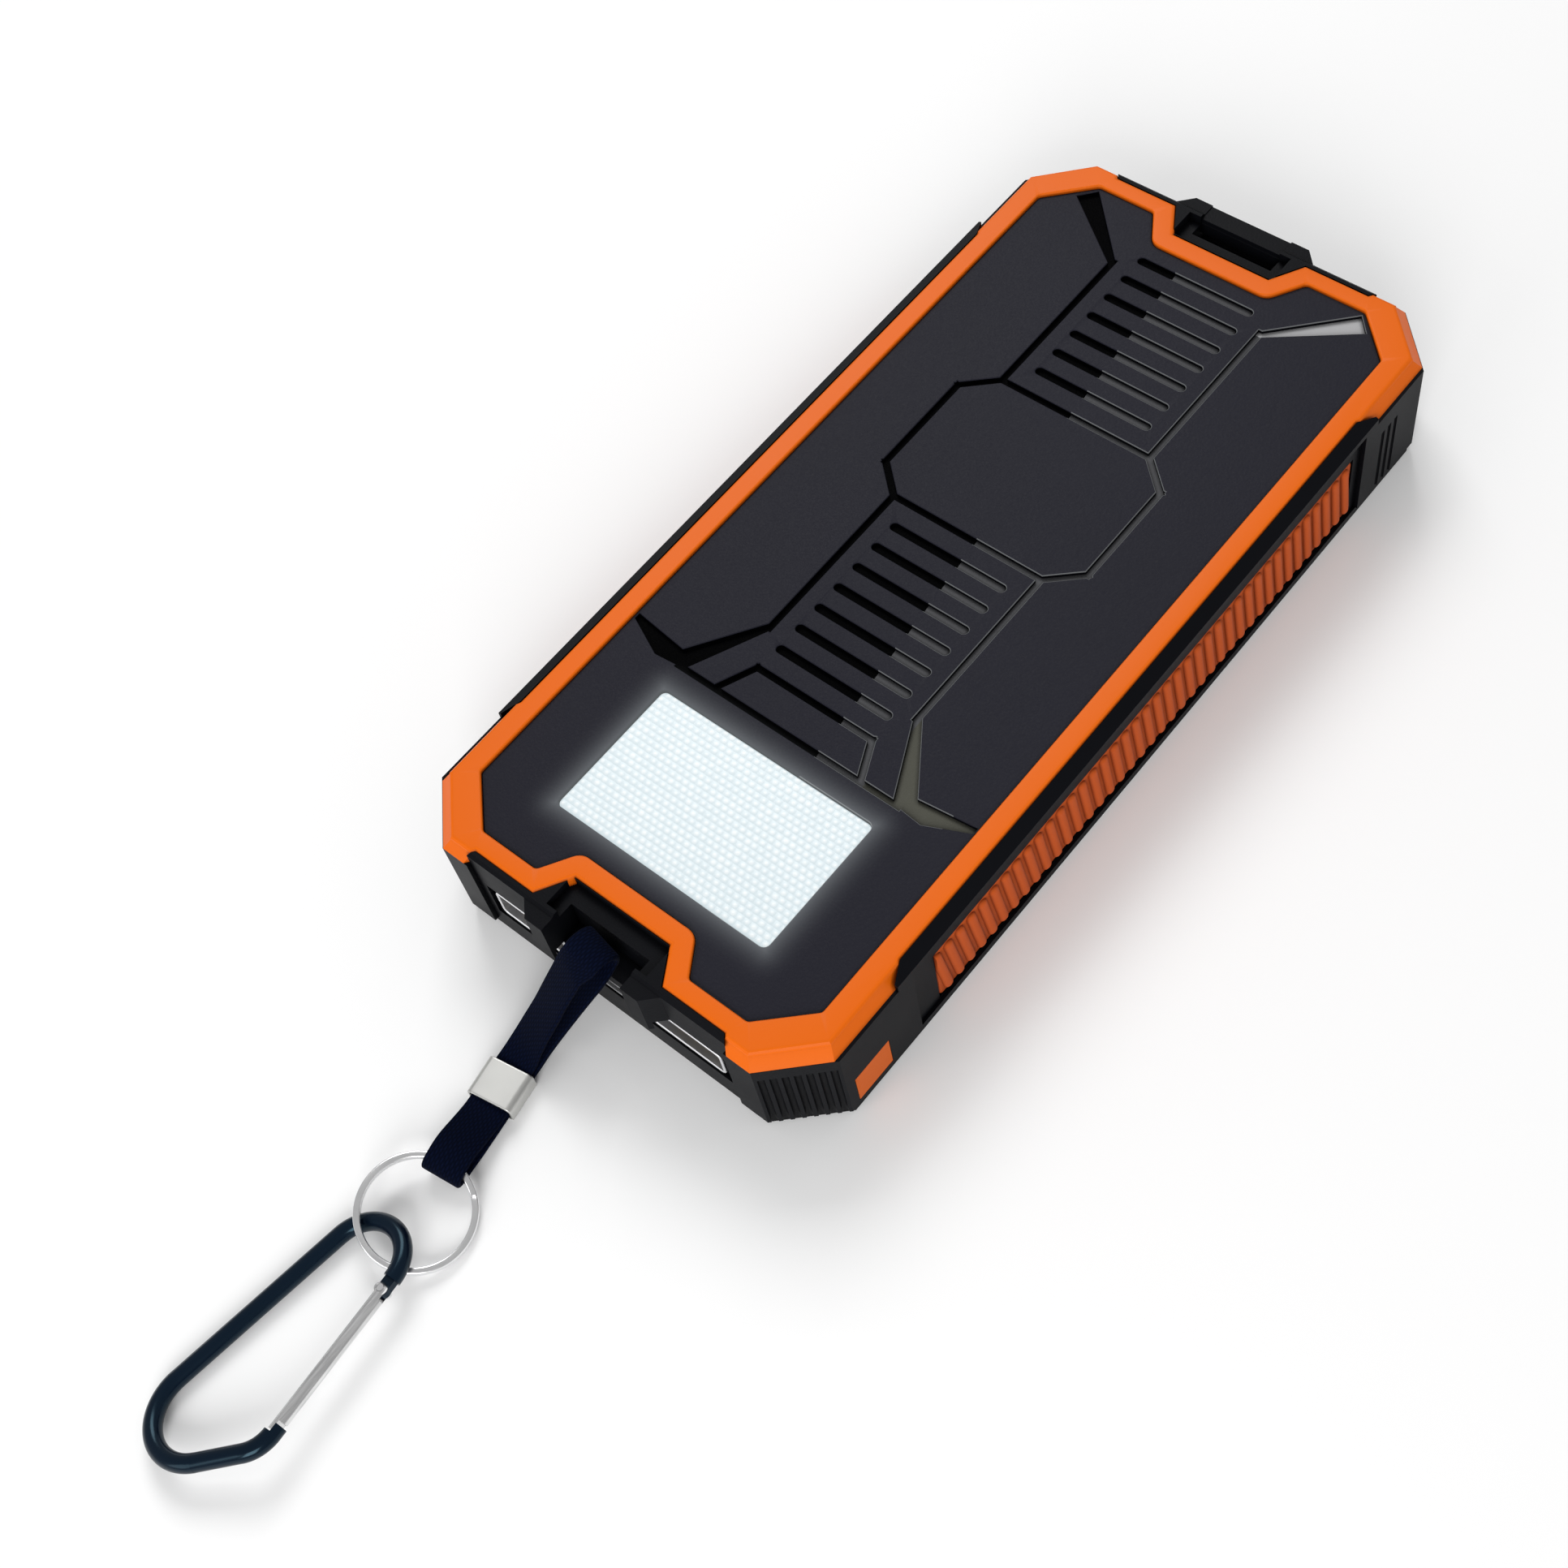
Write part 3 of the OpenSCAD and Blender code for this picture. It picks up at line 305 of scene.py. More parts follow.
def eased_copy(node, name, material, radius, outer=None, steps=3, sharp=30.0):
    """A CAD node whose level top face gets round edges. The top face is taken out, its rim
    is lowered by the radius, quarter rounds are swept up and in along the mitred rim, and the
    smaller top face is filled in again. The outermost rim can have its own radius."""
    points, faces = merged_arrays(node)
    n, top = len(points), points[:, 2].max()
    level = (points[faces][..., 2] > top - SLIVER).all(1)
    edges = faces[level][:, [[0, 1], [1, 2], [2, 0]]].reshape(-1, 2)
    rim = edges[~np.isin(edges[:, 0] * n + edges[:, 1], edges[:, 1] * n + edges[:, 0])]
    ahead, behind = np.arange(n), np.arange(n)
    ahead[rim[:, 0]], behind[rim[:, 1]] = rim[:, 1], rim[:, 0]
    v = rim[:, 0]
    loop, jump = np.arange(n), ahead.copy()
    for _ in range(n.bit_length()):
        loop, jump = np.minimum(loop, loop[jump]), jump[jump]
    far = v[np.argmax(np.abs(points[v, 0]))]
    size = np.where(loop[v] == loop[far], outer if outer else radius, radius)[:, None]
    flat = points[:, :2]
    d0 = unit(flat[v] - flat[behind[v]])
    d1 = unit(flat[ahead[v]] - flat[v])
    n0, n1 = d0[:, ::-1] * [-1, 1], d1[:, ::-1] * [-1, 1]
    mitre = (n0 + n1) / (1 + np.sum(n0 * n1, 1, keepdims=True))
    row = np.full(n, -1)
    row[v] = np.arange(len(v))
    rings = []
    for t in np.linspace(0, pi / 2, steps + 1)[1:]:
        place = flat[v] + mitre * size * (1 - cos(t))
        rings.append(np.column_stack([place, top - size * (1 - sin(t))]))
    points[v, 2] = top - size[:, 0]
    j = row[ahead[v]]
    lower = v
    strips = []
    for step in range(steps):
        upper = n + step * len(v) + np.arange(len(v))
        strips += [np.stack([lower, lower[j], upper[j]], -1),
                   np.stack([lower, upper[j], upper], -1)]
        lower = upper
    last = rings[-1][:, :2]
    made = geometry.delaunay_2d_cdt(
        [Vector(p) for p in last], [(i, int(k)) for i, k in enumerate(j)], [], 0, 1e-9)
    origin = np.array([o[0] for o in made[3]])
    tris = origin[np.array([list(f) for f in made[2]])]
    keep = inside(last[tris].mean(1), last, last[j])
    cap = tris[keep] + lower[0]
    points = np.concatenate([points, *rings])
    faces = np.concatenate([faces[~level], *strips, cap])
    return copied(node, name, points, faces, material, sharp)


# ---------------------------------------------------------------- shader groups


NUMBER, VECTOR = "NodeSocketFloat", "NodeSocketVector"


def shared(name, inputs, outputs):
    """Turns a function that joins a group's nodes into one that gives the shader group of
    that name, made the first time. Its inputs come with their values, and each output is a
    single value."""
    def wrap(join):
        @wraps(join)
        def group():
            if name not in bpy.data.node_groups:
                tree = bpy.data.node_groups.new(name, "ShaderNodeTree")
                for title, default in inputs.items():
                    kind = VECTOR if isinstance(default, tuple) else NUMBER
                    socket = tree.interface.new_socket(title, in_out="INPUT", socket_type=kind)
                    socket.default_value = default
                for title in outputs:
                    tree.interface.new_socket(title, in_out="OUTPUT", socket_type=NUMBER)
                start = add(tree, "NodeGroupInput", (-900, 0))
                end = add(tree, "NodeGroupOutput", (500, 0))
                join(tree, start.outputs, end.inputs)
            return bpy.data.node_groups[name]

        return group

    return wrap


def add(tree, kind, place=(0, 0), values=(), **options):
    """Node with options set and socket values given by name or number."""
    node = tree.nodes.new(kind)
    node.location = place
    for key, value in options.items():
        setattr(node, key, value)
    for key, value in dict(values).items():
        node.inputs[key].default_value = value
    return node


def put(tree, value, socket):
    """Links another socket to this one, or sets a plain value on it."""
    if hasattr(value, "is_linked"):
        tree.links.new(value, socket)
    else:
        socket.default_value = value


def maths(tree, operation, *values, place=(0, 0), clamp=False):
    """Maths node on values or sockets, and its output."""
    node = add(tree, "ShaderNodeMath", place, operation=operation, use_clamp=clamp)
    for value, socket in zip(values, node.inputs):
        put(tree, value, socket)
    return node.outputs[0]


def distance(tree, a, b):
    """Length of a step of a and b across each other."""
    return maths(tree, "SQRT", maths(tree, "ADD", maths(tree, "MULTIPLY", a, a),
                                     maths(tree, "MULTIPLY", b, b)))


def coordinates(tree, place=(-700, 200)):
    """Object coordinates, whole and as x, y and z."""
    whole = add(tree, "ShaderNodeTexCoord", (place[0] - 200, place[1])).outputs["Object"]
    split = add(tree, "ShaderNodeSeparateXYZ", place)
    tree.links.new(whole, split.inputs[0])
    return whole, *split.outputs


@shared("Moulded grain", {"Size": 0.0005, "Patch": 0.02}, ["Height", "Patches", "Speckle"])
def grain_group(group, given, result):
    """Moulded grain: small rounded cells with finer noise over them, as a height, and a
    slow patchy mask for colour and gloss."""
    links = group.links
    place = add(group, "ShaderNodeTexCoord", (-900, 300)).outputs["Object"]
    cells = add(group, "ShaderNodeTexVoronoi", (-400, 250), feature="SMOOTH_F1",
                values={"Smoothness": 0.6})
    fine = add(group, "ShaderNodeTexNoise", (-400, 0), values={"Detail": 3.0})
    slow = add(group, "ShaderNodeTexNoise", (-400, -300), values={"Detail": 4.0})
    for texture, finer, size in ((cells, 1.0, "Size"), (fine, 2.3, "Size"), (slow, 1.0, "Patch")):
        scale = maths(group, "DIVIDE", finer, given[size], place=(-650, 0))
        links.new(place, texture.inputs["Vector"])
        links.new(scale, texture.inputs["Scale"])
    height = maths(group, "MULTIPLY_ADD", fine.outputs["Fac"], 0.6, cells.outputs["Distance"],
                   place=(-100, 150))
    links.new(height, result["Height"])
    links.new(slow.outputs["Fac"], result["Patches"])
    links.new(fine.outputs["Fac"], result["Speckle"])


@shared("Plain weave", {"Along": 1.0, "Across": 1.0}, ["Height"])
def weave_group(group, given, result):
    """Plain weave on a UV map in yarns: rounded yarns side by side, each going over and under
    the crossing ones by turns, as a height."""
    def hump(value):
        return maths(group, "SINE", maths(group, "MULTIPLY", value, pi), place=(200, 250))

    split = add(group, "ShaderNodeSeparateXYZ", (-700, 300))
    uv = add(group, "ShaderNodeUVMap", (-900, 300), uv_map="Surface").outputs["UV"]
    group.links.new(uv, split.inputs[0])
    u = maths(group, "MULTIPLY", split.outputs["X"], given["Along"], place=(-500, 350))
    v = maths(group, "MULTIPLY", split.outputs["Y"], given["Across"], place=(-500, 150))
    parity = maths(group, "PINGPONG", maths(group, "FLOOR", v), 1.0, place=(-200, 150))
    crest = maths(group, "MULTIPLY_ADD", hump(maths(group, "ADD", u, parity)), 0.35, 0.65)
    height = maths(group, "MULTIPLY", crest, hump(maths(group, "FRACT", v)), place=(420, 100))
    group.links.new(height, result["Height"])


@shared("Brushed lines", {"Stretch": (1.0, 1.0, 1.0), "Scale": 4000.0}, ["Height", "Gloss"])
def brushed_group(group, given, result):
    """Fine parallel scratches: noise stretched along one axis of the object, as a height
    and as a change of gloss."""
    links = group.links
    place = add(group, "ShaderNodeTexCoord", (-900, 200)).outputs["Object"]
    scaled = add(group, "ShaderNodeVectorMath", (-600, 150), operation="MULTIPLY")
    links.new(place, scaled.inputs[0])
    links.new(given["Stretch"], scaled.inputs[1])
    lines = add(group, "ShaderNodeTexNoise", (-300, 150), values={"Detail": 3.0})
    links.new(scaled.outputs[0], lines.inputs["Vector"])
    links.new(given["Scale"], lines.inputs["Scale"])
    smear = add(group, "ShaderNodeTexNoise", (-300, -150), values={"Scale": 350.0, "Detail": 3.0})
    links.new(place, smear.inputs["Vector"])
    links.new(lines.outputs["Fac"], result["Height"])
    links.new(smear.outputs["Fac"], result["Gloss"])


@shared("Lamp glow", {"Half width": 0.019, "Half length": 0.0115, "Middle": -0.05,
                      "Reach": 0.004, "Falloff": 3.4}, ["Glow"])
def glow_group(group, given, result):
    """Light spilled round the lamp window: falls off with the distance from the window's
    edge, which is the length of how far a place lies outside it in x and in y."""
    _, x, y, _ = coordinates(group)
    dx = maths(group, "SUBTRACT", maths(group, "ABSOLUTE", x), given["Half width"])
    dy = maths(group, "SUBTRACT",
               maths(group, "ABSOLUTE", maths(group, "SUBTRACT", y, given["Middle"])),
               given["Half length"])
    far = distance(group, maths(group, "MAXIMUM", dx, 0.0), maths(group, "MAXIMUM", dy, 0.0))
    share = maths(group, "DIVIDE", far, given["Reach"])
    near = maths(group, "SUBTRACT", 1.0, share, clamp=True)
    group.links.new(maths(group, "POWER", near, given["Falloff"]), result["Glow"])


@shared("Groove light and shade", {"Top": 0.0198, "Floor": 0.0191},
        ["Shadow", "Rim highlight", "Floor", "Far wedge reflection", "Near wedge reflection"])
def groove_group(group, given, result):
    """Masks of the light and shade painted on the panel's relief, told by place: painted shadow
    on places below the top on the side away from the light and on the walls of the rest, the
    floors, a painted highlight on the eased rims of the lit grooves, and painted reflections on
    the floors of the two wedges at the right-hand ends."""
    _, x, y, z = coordinates(group)
    # Depth of the eased edges, and the height below which a place counts as a floor.
    edge, slack = 0.00016, 0.00005
    # Line x = slope * y + crossing between the grooves in shade and the lit ones, and how far
    # out the lit ones go.
    slope, crossing, half_field = -0.097, 0.0021, 0.027
    # Inner corners of the two wedges.
    far_wedge, near_wedge = (0.0125, 0.0602), (0.0138, -0.0224)
    deep = maths(group, "LESS_THAN", z, maths(group, "SUBTRACT", given["Top"], edge))
    wall = maths(group, "GREATER_THAN", z, maths(group, "ADD", given["Floor"], slack))
    left = maths(group, "LESS_THAN", x, maths(group, "MULTIPLY_ADD", y, slope, crossing))
    # Painted shadow: full on places below the top on the side away from the light, and 0.8 on the
    # walls of the rest.
    shade = maths(group, "MAXIMUM", left, maths(group, "MULTIPLY", wall, 0.8))
    # Painted highlight on the eased rims of the lit grooves.
    below = maths(group, "LESS_THAN", z, maths(group, "SUBTRACT", given["Top"], SLIVER))
    rim = maths(group, "SUBTRACT", below, deep, clamp=True)
    within = maths(group, "LESS_THAN", maths(group, "ABSOLUTE", x), half_field)
    right = maths(group, "SUBTRACT", within, left, clamp=True)
    floor = maths(group, "SUBTRACT", deep, wall, clamp=True)
    # Painted reflections on the floors of the two wedges at the right-hand ends.
    far = maths(group, "MULTIPLY", maths(group, "GREATER_THAN", y, far_wedge[1]),
                maths(group, "GREATER_THAN", x, far_wedge[0]))
    near = maths(group, "MULTIPLY", maths(group, "LESS_THAN", y, near_wedge[1]),
                 maths(group, "GREATER_THAN", x, near_wedge[0]))
    group.links.new(floor, result["Floor"])
    for name, a, b in (("Shadow", deep, shade), ("Rim highlight", rim, right),
                       ("Far wedge reflection", floor, far), ("Near wedge reflection", floor, near)):
        group.links.new(maths(group, "MULTIPLY", a, b), result[name])


@shared("Crevice shade", {"Reach": 0.0008}, ["Open"])
def crevice_shade_group(group, given, result):
    """Painted shade in tight corners: how much of the near surroundings hides the open sky."""
    near = add(group, "ShaderNodeAmbientOcclusion", (-300, 0), samples=6)
    group.links.new(given["Reach"], near.inputs["Distance"])
    soft = maths(group, "POWER", near.outputs["AO"], 1.6, place=(0, 0))
    group.links.new(soft, result["Open"])


# ---------------------------------------------------------------- materials


def new_material(name, base=(0.5, 0.5, 0.5), **values):
    """Material with a Principled BSDF whose even values are set on its own sockets."""
    if name in bpy.data.materials:
        return bpy.data.materials[name], None, None
    material = bpy.data.materials.new(name)
    material.use_nodes = True
    tree = material.node_tree
    shader = tree.nodes["Principled BSDF"]
    shader.inputs["Base Color"].default_value = (*base, 1.0)
    for key, value in values.items():
        shader.inputs[key.replace("_", " ")].default_value = value
    material.diffuse_color = (*base, 1.0)
    return material, tree, shader


def mixed(tree, factor, a, b, place=(-350, 200)):
    """Colour between two, each a plain colour or a socket."""
    mix = add(tree, "ShaderNodeMix", place, data_type="RGBA")
    for name, value in (("A", a), ("B", b), ("Factor", factor)):
        put(tree, (*value, 1.0) if isinstance(value, tuple) else value, mix.inputs[name])
    return mix.outputs["Result"]


def tones(tree, mask, base, low=0.85, high=1.15, place=(-350, 200)):
    """A colour made a little darker and lighter over the surface by a mask."""
    return mixed(tree, mask, tuple(min(1.0, c * low) for c in base),
                 tuple(min(1.0, c * high) for c in base), place)


def ranged(tree, value, low, high, target, place=(-350, -50), start=0.3, stop=0.7):
    """Value mapped from start..stop to low..high and put into a socket."""
    span = add(tree, "ShaderNodeMapRange", place,
               {"From Min": start, "From Max": stop, "To Min": low, "To Max": high})
    tree.links.new(value, span.inputs["Value"])
    tree.links.new(span.outputs["Result"], target)


def bumped(tree, shader, height, depth, strength=1.0, place=(-350, -300)):
    """Bump of a given height in metres into the shader's normal."""
    bump = add(tree, "ShaderNodeBump", place, {"Strength": strength, "Distance": depth})
    tree.links.new(height, bump.inputs["Height"])
    tree.links.new(bump.outputs["Normal"], shader.inputs["Normal"])


def placed(tree, group, values=(), place=(-700, 0)):
    """Outputs of a shared group put into a material with values of its own."""
    return add(tree, "ShaderNodeGroup", place, values, node_tree=group()).outputs


def shaded_in_crevices(tree, tone, into, reach, target):
    """Colour that turns to a painted shade colour in tight corners, put into a socket."""
    sky = placed(tree, crevice_shade_group, {"Reach": reach}, (-350, 500))["Open"]
    closed = maths(tree, "SUBTRACT", 1.0, sky, place=(-150, 500), clamp=True)
    tree.links.new(mixed(tree, closed, tone, into, (-150, 200)), target)


def moulded(name, base, roughness, grain, depth, spread=0.06, patch=0.03, low=0.9, high=1.1,
            crevice_shade=None, reach=0.0008, **values):
    """Moulded plastic or rubber: grain of a given size and depth, patchy tone and gloss, and
    painted shade in tight corners where a shade colour is given.
    """
    material, tree, shader = new_material(name, base, **values)
    if tree is None:
        return material
    skin = placed(tree, grain_group, {"Size": grain, "Patch": patch})
    tone = tones(tree, skin["Patches"], base, low, high)
    if crevice_shade is None:
        tree.links.new(tone, shader.inputs["Base Color"])
    else:
        shaded_in_crevices(tree, tone, crevice_shade, reach, shader.inputs["Base Color"])
    ranged(tree, skin["Patches"], roughness - spread, roughness + spread,
           shader.inputs["Roughness"])
    bumped(tree, shader, skin["Height"], depth)
    return material


def metal(name, base, roughness, stretch=(1.0, 1.0, 1.0), scale=4000.0, depth=2e-6,
          spread=0.08, low=0.92, high=1.04, lined=False, **values):
    """Metal with fine lines along one axis, which can show as tone too, and uneven gloss."""
    material, tree, shader = new_material(name, base, Metallic=1.0, **values)
    if tree is None:
        return material
    lines = placed(tree, brushed_group, {"Stretch": stretch, "Scale": scale})
    tree.links.new(tones(tree, lines["Height" if lined else "Gloss"], base, low, high),
                   shader.inputs["Base Color"])
    ranged(tree, lines["Gloss"], roughness - spread, roughness + spread,
           shader.inputs["Roughness"])
    bumped(tree, shader, lines["Height"], depth)
    return material


def frame_black():
    # Painted shade: near-black in the tight corners of the frame.
    return moulded("Frame black", tuple(settings("finish").frame), 0.45, 0.00028, 0.00001,
                   low=0.8, high=1.3, crevice_shade=(0.0003, 0.0003, 0.0005), reach=0.0012,
                   Specular_IOR_Level=0.05)


def panel_slate():
    """Dark slate plastic with a fine leather grain, with light and shade painted on: black
    painted shadow in the grooves away from the light, lighter grey painted on the floors of the
    lit grooves and as a highlight on their rims, painted reflections in grey on the right-hand
    wedges, painted shade in tight corners, and a painted glow of the lamp's light spilled on it."""
    base = tuple(settings("finish").panel)
    material, tree, shader = new_material("Panel slate", base)
    if tree is None:
        return material
    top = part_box("back_panel")[1].z
    skin = placed(tree, grain_group, {"Size": 0.00042, "Patch": 0.04}, (-900, 0))
    parts = placed(tree, groove_group, {"Top": top, "Floor": top - 0.0007}, (-900, 400))
    tone = tones(tree, skin["Patches"], base, 0.88, 1.14, (-700, 200))
    # Light and shade painted over the grain: lighter grey on the floors of the lit grooves and a
    # painted highlight on their rims, painted reflections on the two wedges, and black painted
    # shadow in the grooves away from the light.
    for part, shade in (("Floor", (0.085, 0.086, 0.092)), ("Rim highlight", (0.13, 0.135, 0.14)),
                        ("Far wedge reflection", (0.42, 0.42, 0.43)), ("Near wedge reflection", (0.075, 0.075, 0.060)),
                        ("Shadow", (0.0004, 0.0004, 0.0006))):
        tone = mixed(tree, parts[part], tone, shade, (-600, 350))
    # Painted shade: near-black in the tight corners of the relief.
    shaded_in_crevices(tree, tone, (0.0006, 0.0006, 0.001), 0.0007, shader.inputs["Base Color"])
    dull = maths(tree, "MULTIPLY_ADD", parts["Shadow"], -0.08, 0.09, place=(-300, 600))
    tree.links.new(dull, shader.inputs["Specular IOR Level"])
    ranged(tree, skin["Speckle"], 0.45, 0.6, shader.inputs["Roughness"])
    bumped(tree, shader, skin["Height"], 0.000018)
    # Painted glow: the lamp's light spilled round its window, painted on the panel as emission.
    low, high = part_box("lamp_window")
    lap = 0.001
    glow = placed(tree, glow_group, {
        "Half width": (high.x - low.x) / 2 - lap, "Half length": (high.y - low.y) / 2 - lap,
        "Middle": (high.y + low.y) / 2, "Reach": 0.006}, (-700, -450))
    light = mixed(tree, glow["Glow"], (0.0, 0.0, 0.0), (0.10, 0.108, 0.112), (-350, -500))
    tree.links.new(light, shader.inputs["Emission Color"])
    shader.inputs["Emission Strength"].default_value = 1.0
    return material


def bezel_orange():
    # Painted shade: dark red-brown in the tight corners at the bezel's edges.
    return moulded("Bezel orange", tuple(settings("finish").bezel), 0.36, 0.0009, 0.000004,
                   low=0.95, high=1.05, spread=0.04, crevice_shade=(0.05, 0.006, 0.001),
                   reach=0.0007, Specular_IOR_Level=0.1)


def grip_rubber():
    # Painted shade: dark brown in the tight corners of the grips, between the ribs.
    return moulded("Grip rubber", tuple(settings("finish").grip), 0.62, 0.0003, 0.00001,
                   low=0.85, high=1.12, crevice_shade=(0.09, 0.011, 0.002), reach=0.0016,
                   Specular_IOR_Level=0.12)


def button_orange():
    base = tuple(settings("finish").bezel)
    return moulded("Button orange", tuple(c * 0.8 for c in base), 0.5, 0.0004, 0.000006,
                   Specular_IOR_Level=0.12)


def lamp_lens():
    """Lit lens of small prisms: rows of round cells, every other row moved by half a cell,
    a little brighter at their middles, with a slow unevenness over the window."""
    base = tuple(settings("finish").lamp)
    material, tree, shader = new_material("Lamp lens", (0.12, 0.13, 0.135), Roughness=0.3)
    if tree is None:
        return material
    row_pitch, cell_pitch = 0.00104, 0.0012
    whole, x, y, _ = coordinates(tree, (-1300, 0))
    row = maths(tree, "DIVIDE", y, row_pitch, place=(-1150, -100))
    shift = maths(tree, "MULTIPLY", maths(tree, "PINGPONG", maths(tree, "FLOOR", row), 1.0), 0.5)
    column = maths(tree, "ADD", maths(tree, "DIVIDE", x, cell_pitch), shift)
    far = distance(tree, *(maths(tree, "SUBTRACT", maths(tree, "FRACT", cell), 0.5)
                           for cell in (column, row)))
    blotch = add(tree, "ShaderNodeTexNoise", (-850, -200), {"Scale": 420.0, "Detail": 3.0})
    tree.links.new(whole, blotch.inputs["Vector"])
    tone = maths(tree, "MULTIPLY_ADD", blotch.outputs["Fac"], 0.55, far, place=(-600, 0))
    mix = add(tree, "ShaderNodeMix", (-350, 0), data_type="RGBA")
    mix.inputs["A"].default_value = (0.93, 0.98, 0.99, 1.0)
    mix.inputs["B"].default_value = (*base, 1.0)
    ranged(tree, tone, 0.0, 1.0, mix.inputs["Factor"], (-500, -150), 0.38, 0.68)
    tree.links.new(mix.outputs["Result"], shader.inputs["Emission Color"])
    shader.inputs["Emission Strength"].default_value = 0.76
    bumped(tree, shader, maths(tree, "MULTIPLY", far, -1.0), 0.00015, 0.5)
    return material


def strap_weave():
    """Dark navy yarn in a plain weave that follows the strap."""
    base = tuple(settings("finish").strap)
    material, tree, shader = new_material("Strap weave", base, Roughness=0.85,
                                          Sheen_Weight=0.01, Sheen_Roughness=0.5,
                                          Specular_IOR_Level=0.03)
    if tree is None:
        return material
    yarn, pick = 0.0005, 0.0004
    weave = placed(tree, weave_group, {"Along": 1 / yarn, "Across": 1 / pick})["Height"]
    tree.links.new(tones(tree, weave, base, 0.55, 1.7), shader.inputs["Base Color"])
    bumped(tree, shader, weave, 0.00006)
    return material


def lanyard_steel():
    return metal("Lanyard steel", (0.86, 0.86, 0.87), 0.25, depth=1e-6, spread=0.03)


def clamp_steel():
    return metal("Clamp steel", (0.60, 0.60, 0.58), 0.42, (0.1, 1.0, 1.0), 5000.0, depth=1e-6,
                 spread=0.04)


def carabiner_finish():
    """Dark anodised metal under a clear gloss."""
    base = tuple(settings("finish").carabiner)
    return moulded("Carabiner anodised", base, 0.2, 0.0012, 0.000001, spread=0.04,
                   low=0.7, high=1.5, Specular_IOR_Level=0.28,
                   Specular_Tint=(0.45, 0.8, 1.0, 1.0))


def gate_metal():
    return metal("Gate aluminium", (0.9, 0.9, 0.91), 0.24, (1.0, 0.03, 1.0), 2200.0,
                 spread=0.03, low=0.45, high=1.5, lined=True)


def socket_steel():
    return metal("Socket steel", (0.9, 0.9, 0.92), 0.35, spread=0.04)


def inner_black():
    return moulded("Inner black plastic", (0.012, 0.012, 0.013), 0.5, 0.0005, 0.000006)


def plain_finishes():
    """Finishes of the pieces inside the case, by node."""
    black = inner_black()
    white = moulded("White plastic", (0.8, 0.8, 0.77), 0.5, 0.0006, 0.000005)
    board = moulded("Board mask", (0.008, 0.09, 0.035), 0.32, 0.0008, 0.000004)
    dark_board = moulded("Cell board", (0.012, 0.02, 0.014), 0.4, 0.0008, 0.000004)
    foil = metal("Cell foil", (0.7, 0.71, 0.73), 0.35, scale=900.0, depth=8e-6)
    rubber = moulded("Seal rubber", (0.01, 0.01, 0.01), 0.8, 0.0004, 0.00001)
    red = moulded("Red lead", (0.5, 0.02, 0.02), 0.4, 0.0005, 0.000004)
    pale = moulded("Pale lead", (0.7, 0.7, 0.68), 0.4, 0.0005, 0.000004)
    gold = metal("Contact gold", (0.85, 0.62, 0.25), 0.2)
    steel = metal("Screw steel", (0.55, 0.55, 0.57), 0.3)
    tinned = metal("Tinned ribbon", (0.75, 0.75, 0.77), 0.35)
    phosphor = moulded("Lamp phosphor", (0.9, 0.75, 0.2), 0.35, 0.0005, 0.000004)
    ferrite = moulded("Coil ferrite", (0.06, 0.06, 0.065), 0.6, 0.0004, 0.000008)
    return {
        "case_seal": rubber, "switch_stem": black, "switch_body": steel,
        "lamp_reflector": white, "lamp_board": white, "lamp_leds": phosphor,
        "solar_ribbons": tinned, "solar_board": dark_board, "main_board": board,
        "board_chips": black, "power_coil": ferrite, "usb_contacts": gold,
        "battery_lower": foil, "battery_upper": foil, "battery_pad": rubber,
        "battery_leads": red, "solar_leads": black, "lamp_leads": pale, "case_screws": steel,
        "gate_spring": steel,
    }


def solar_cell():
    """Dark blue silicon with fine silver fingers across and a faint crystal tone."""
    base = (0.006, 0.012, 0.05)
    material, tree, shader = new_material("Solar cell", base, Roughness=0.25)
    if tree is None:
        return material
    pitch, share = 0.0018, 0.09
    whole, _, y, _ = coordinates(tree, (-900, 0))
    turn = maths(tree, "FRACT", maths(tree, "DIVIDE", y, pitch, place=(-700, 0)), place=(-550, 0))
    finger = maths(tree, "LESS_THAN", turn, share, place=(-400, 0))
    grain = add(tree, "ShaderNodeTexVoronoi", (-700, 250), {"Scale": 260.0})
    tree.links.new(whole, grain.inputs["Vector"])
    tone = mixed(tree, grain.outputs["Distance"], base, (0.012, 0.03, 0.11), (-400, 250))
    tree.links.new(mixed(tree, finger, tone, (0.6, 0.6, 0.62), (-200, 100)),
                   shader.inputs["Base Color"])
    return material


def clear_film(name, tint=(0.9, 0.95, 1.0)):
    """Clear plastic with a slightly uneven surface."""
    material, tree, shader = new_material(name, tint, Roughness=0.03, Transmission_Weight=1.0,
                                          IOR=1.45)
    if tree is None:
        return material
    skin = placed(tree, grain_group, {"Size": 0.002})
    bumped(tree, shader, skin["Height"], 0.000003)
    tree.links.new(tones(tree, skin["Patches"], tint, 0.95, 1.05), shader.inputs["Base Color"])
    return material


def paint_node(node, material):
    """Gives a shown CAD node its finish."""
    mesh = frame["nodes"][node].data
    mesh.materials.clear()
    mesh.materials.append(material)


# ---------------------------------------------------------------- stage


FLOOR_HALF = 3.0
SKY = 0.45
# Name, place, side and power of each soft light, which points at the origin.
LIGHTS = (
    ("Key light", (-0.5, 0.45, 0.75), 0.5, 4.6),
    ("Fill light", (0.45, -0.75, 0.5), 0.45, 4.9),
    ("End light", (-0.1, -0.8, 0.35), 0.4, 1.2),
)


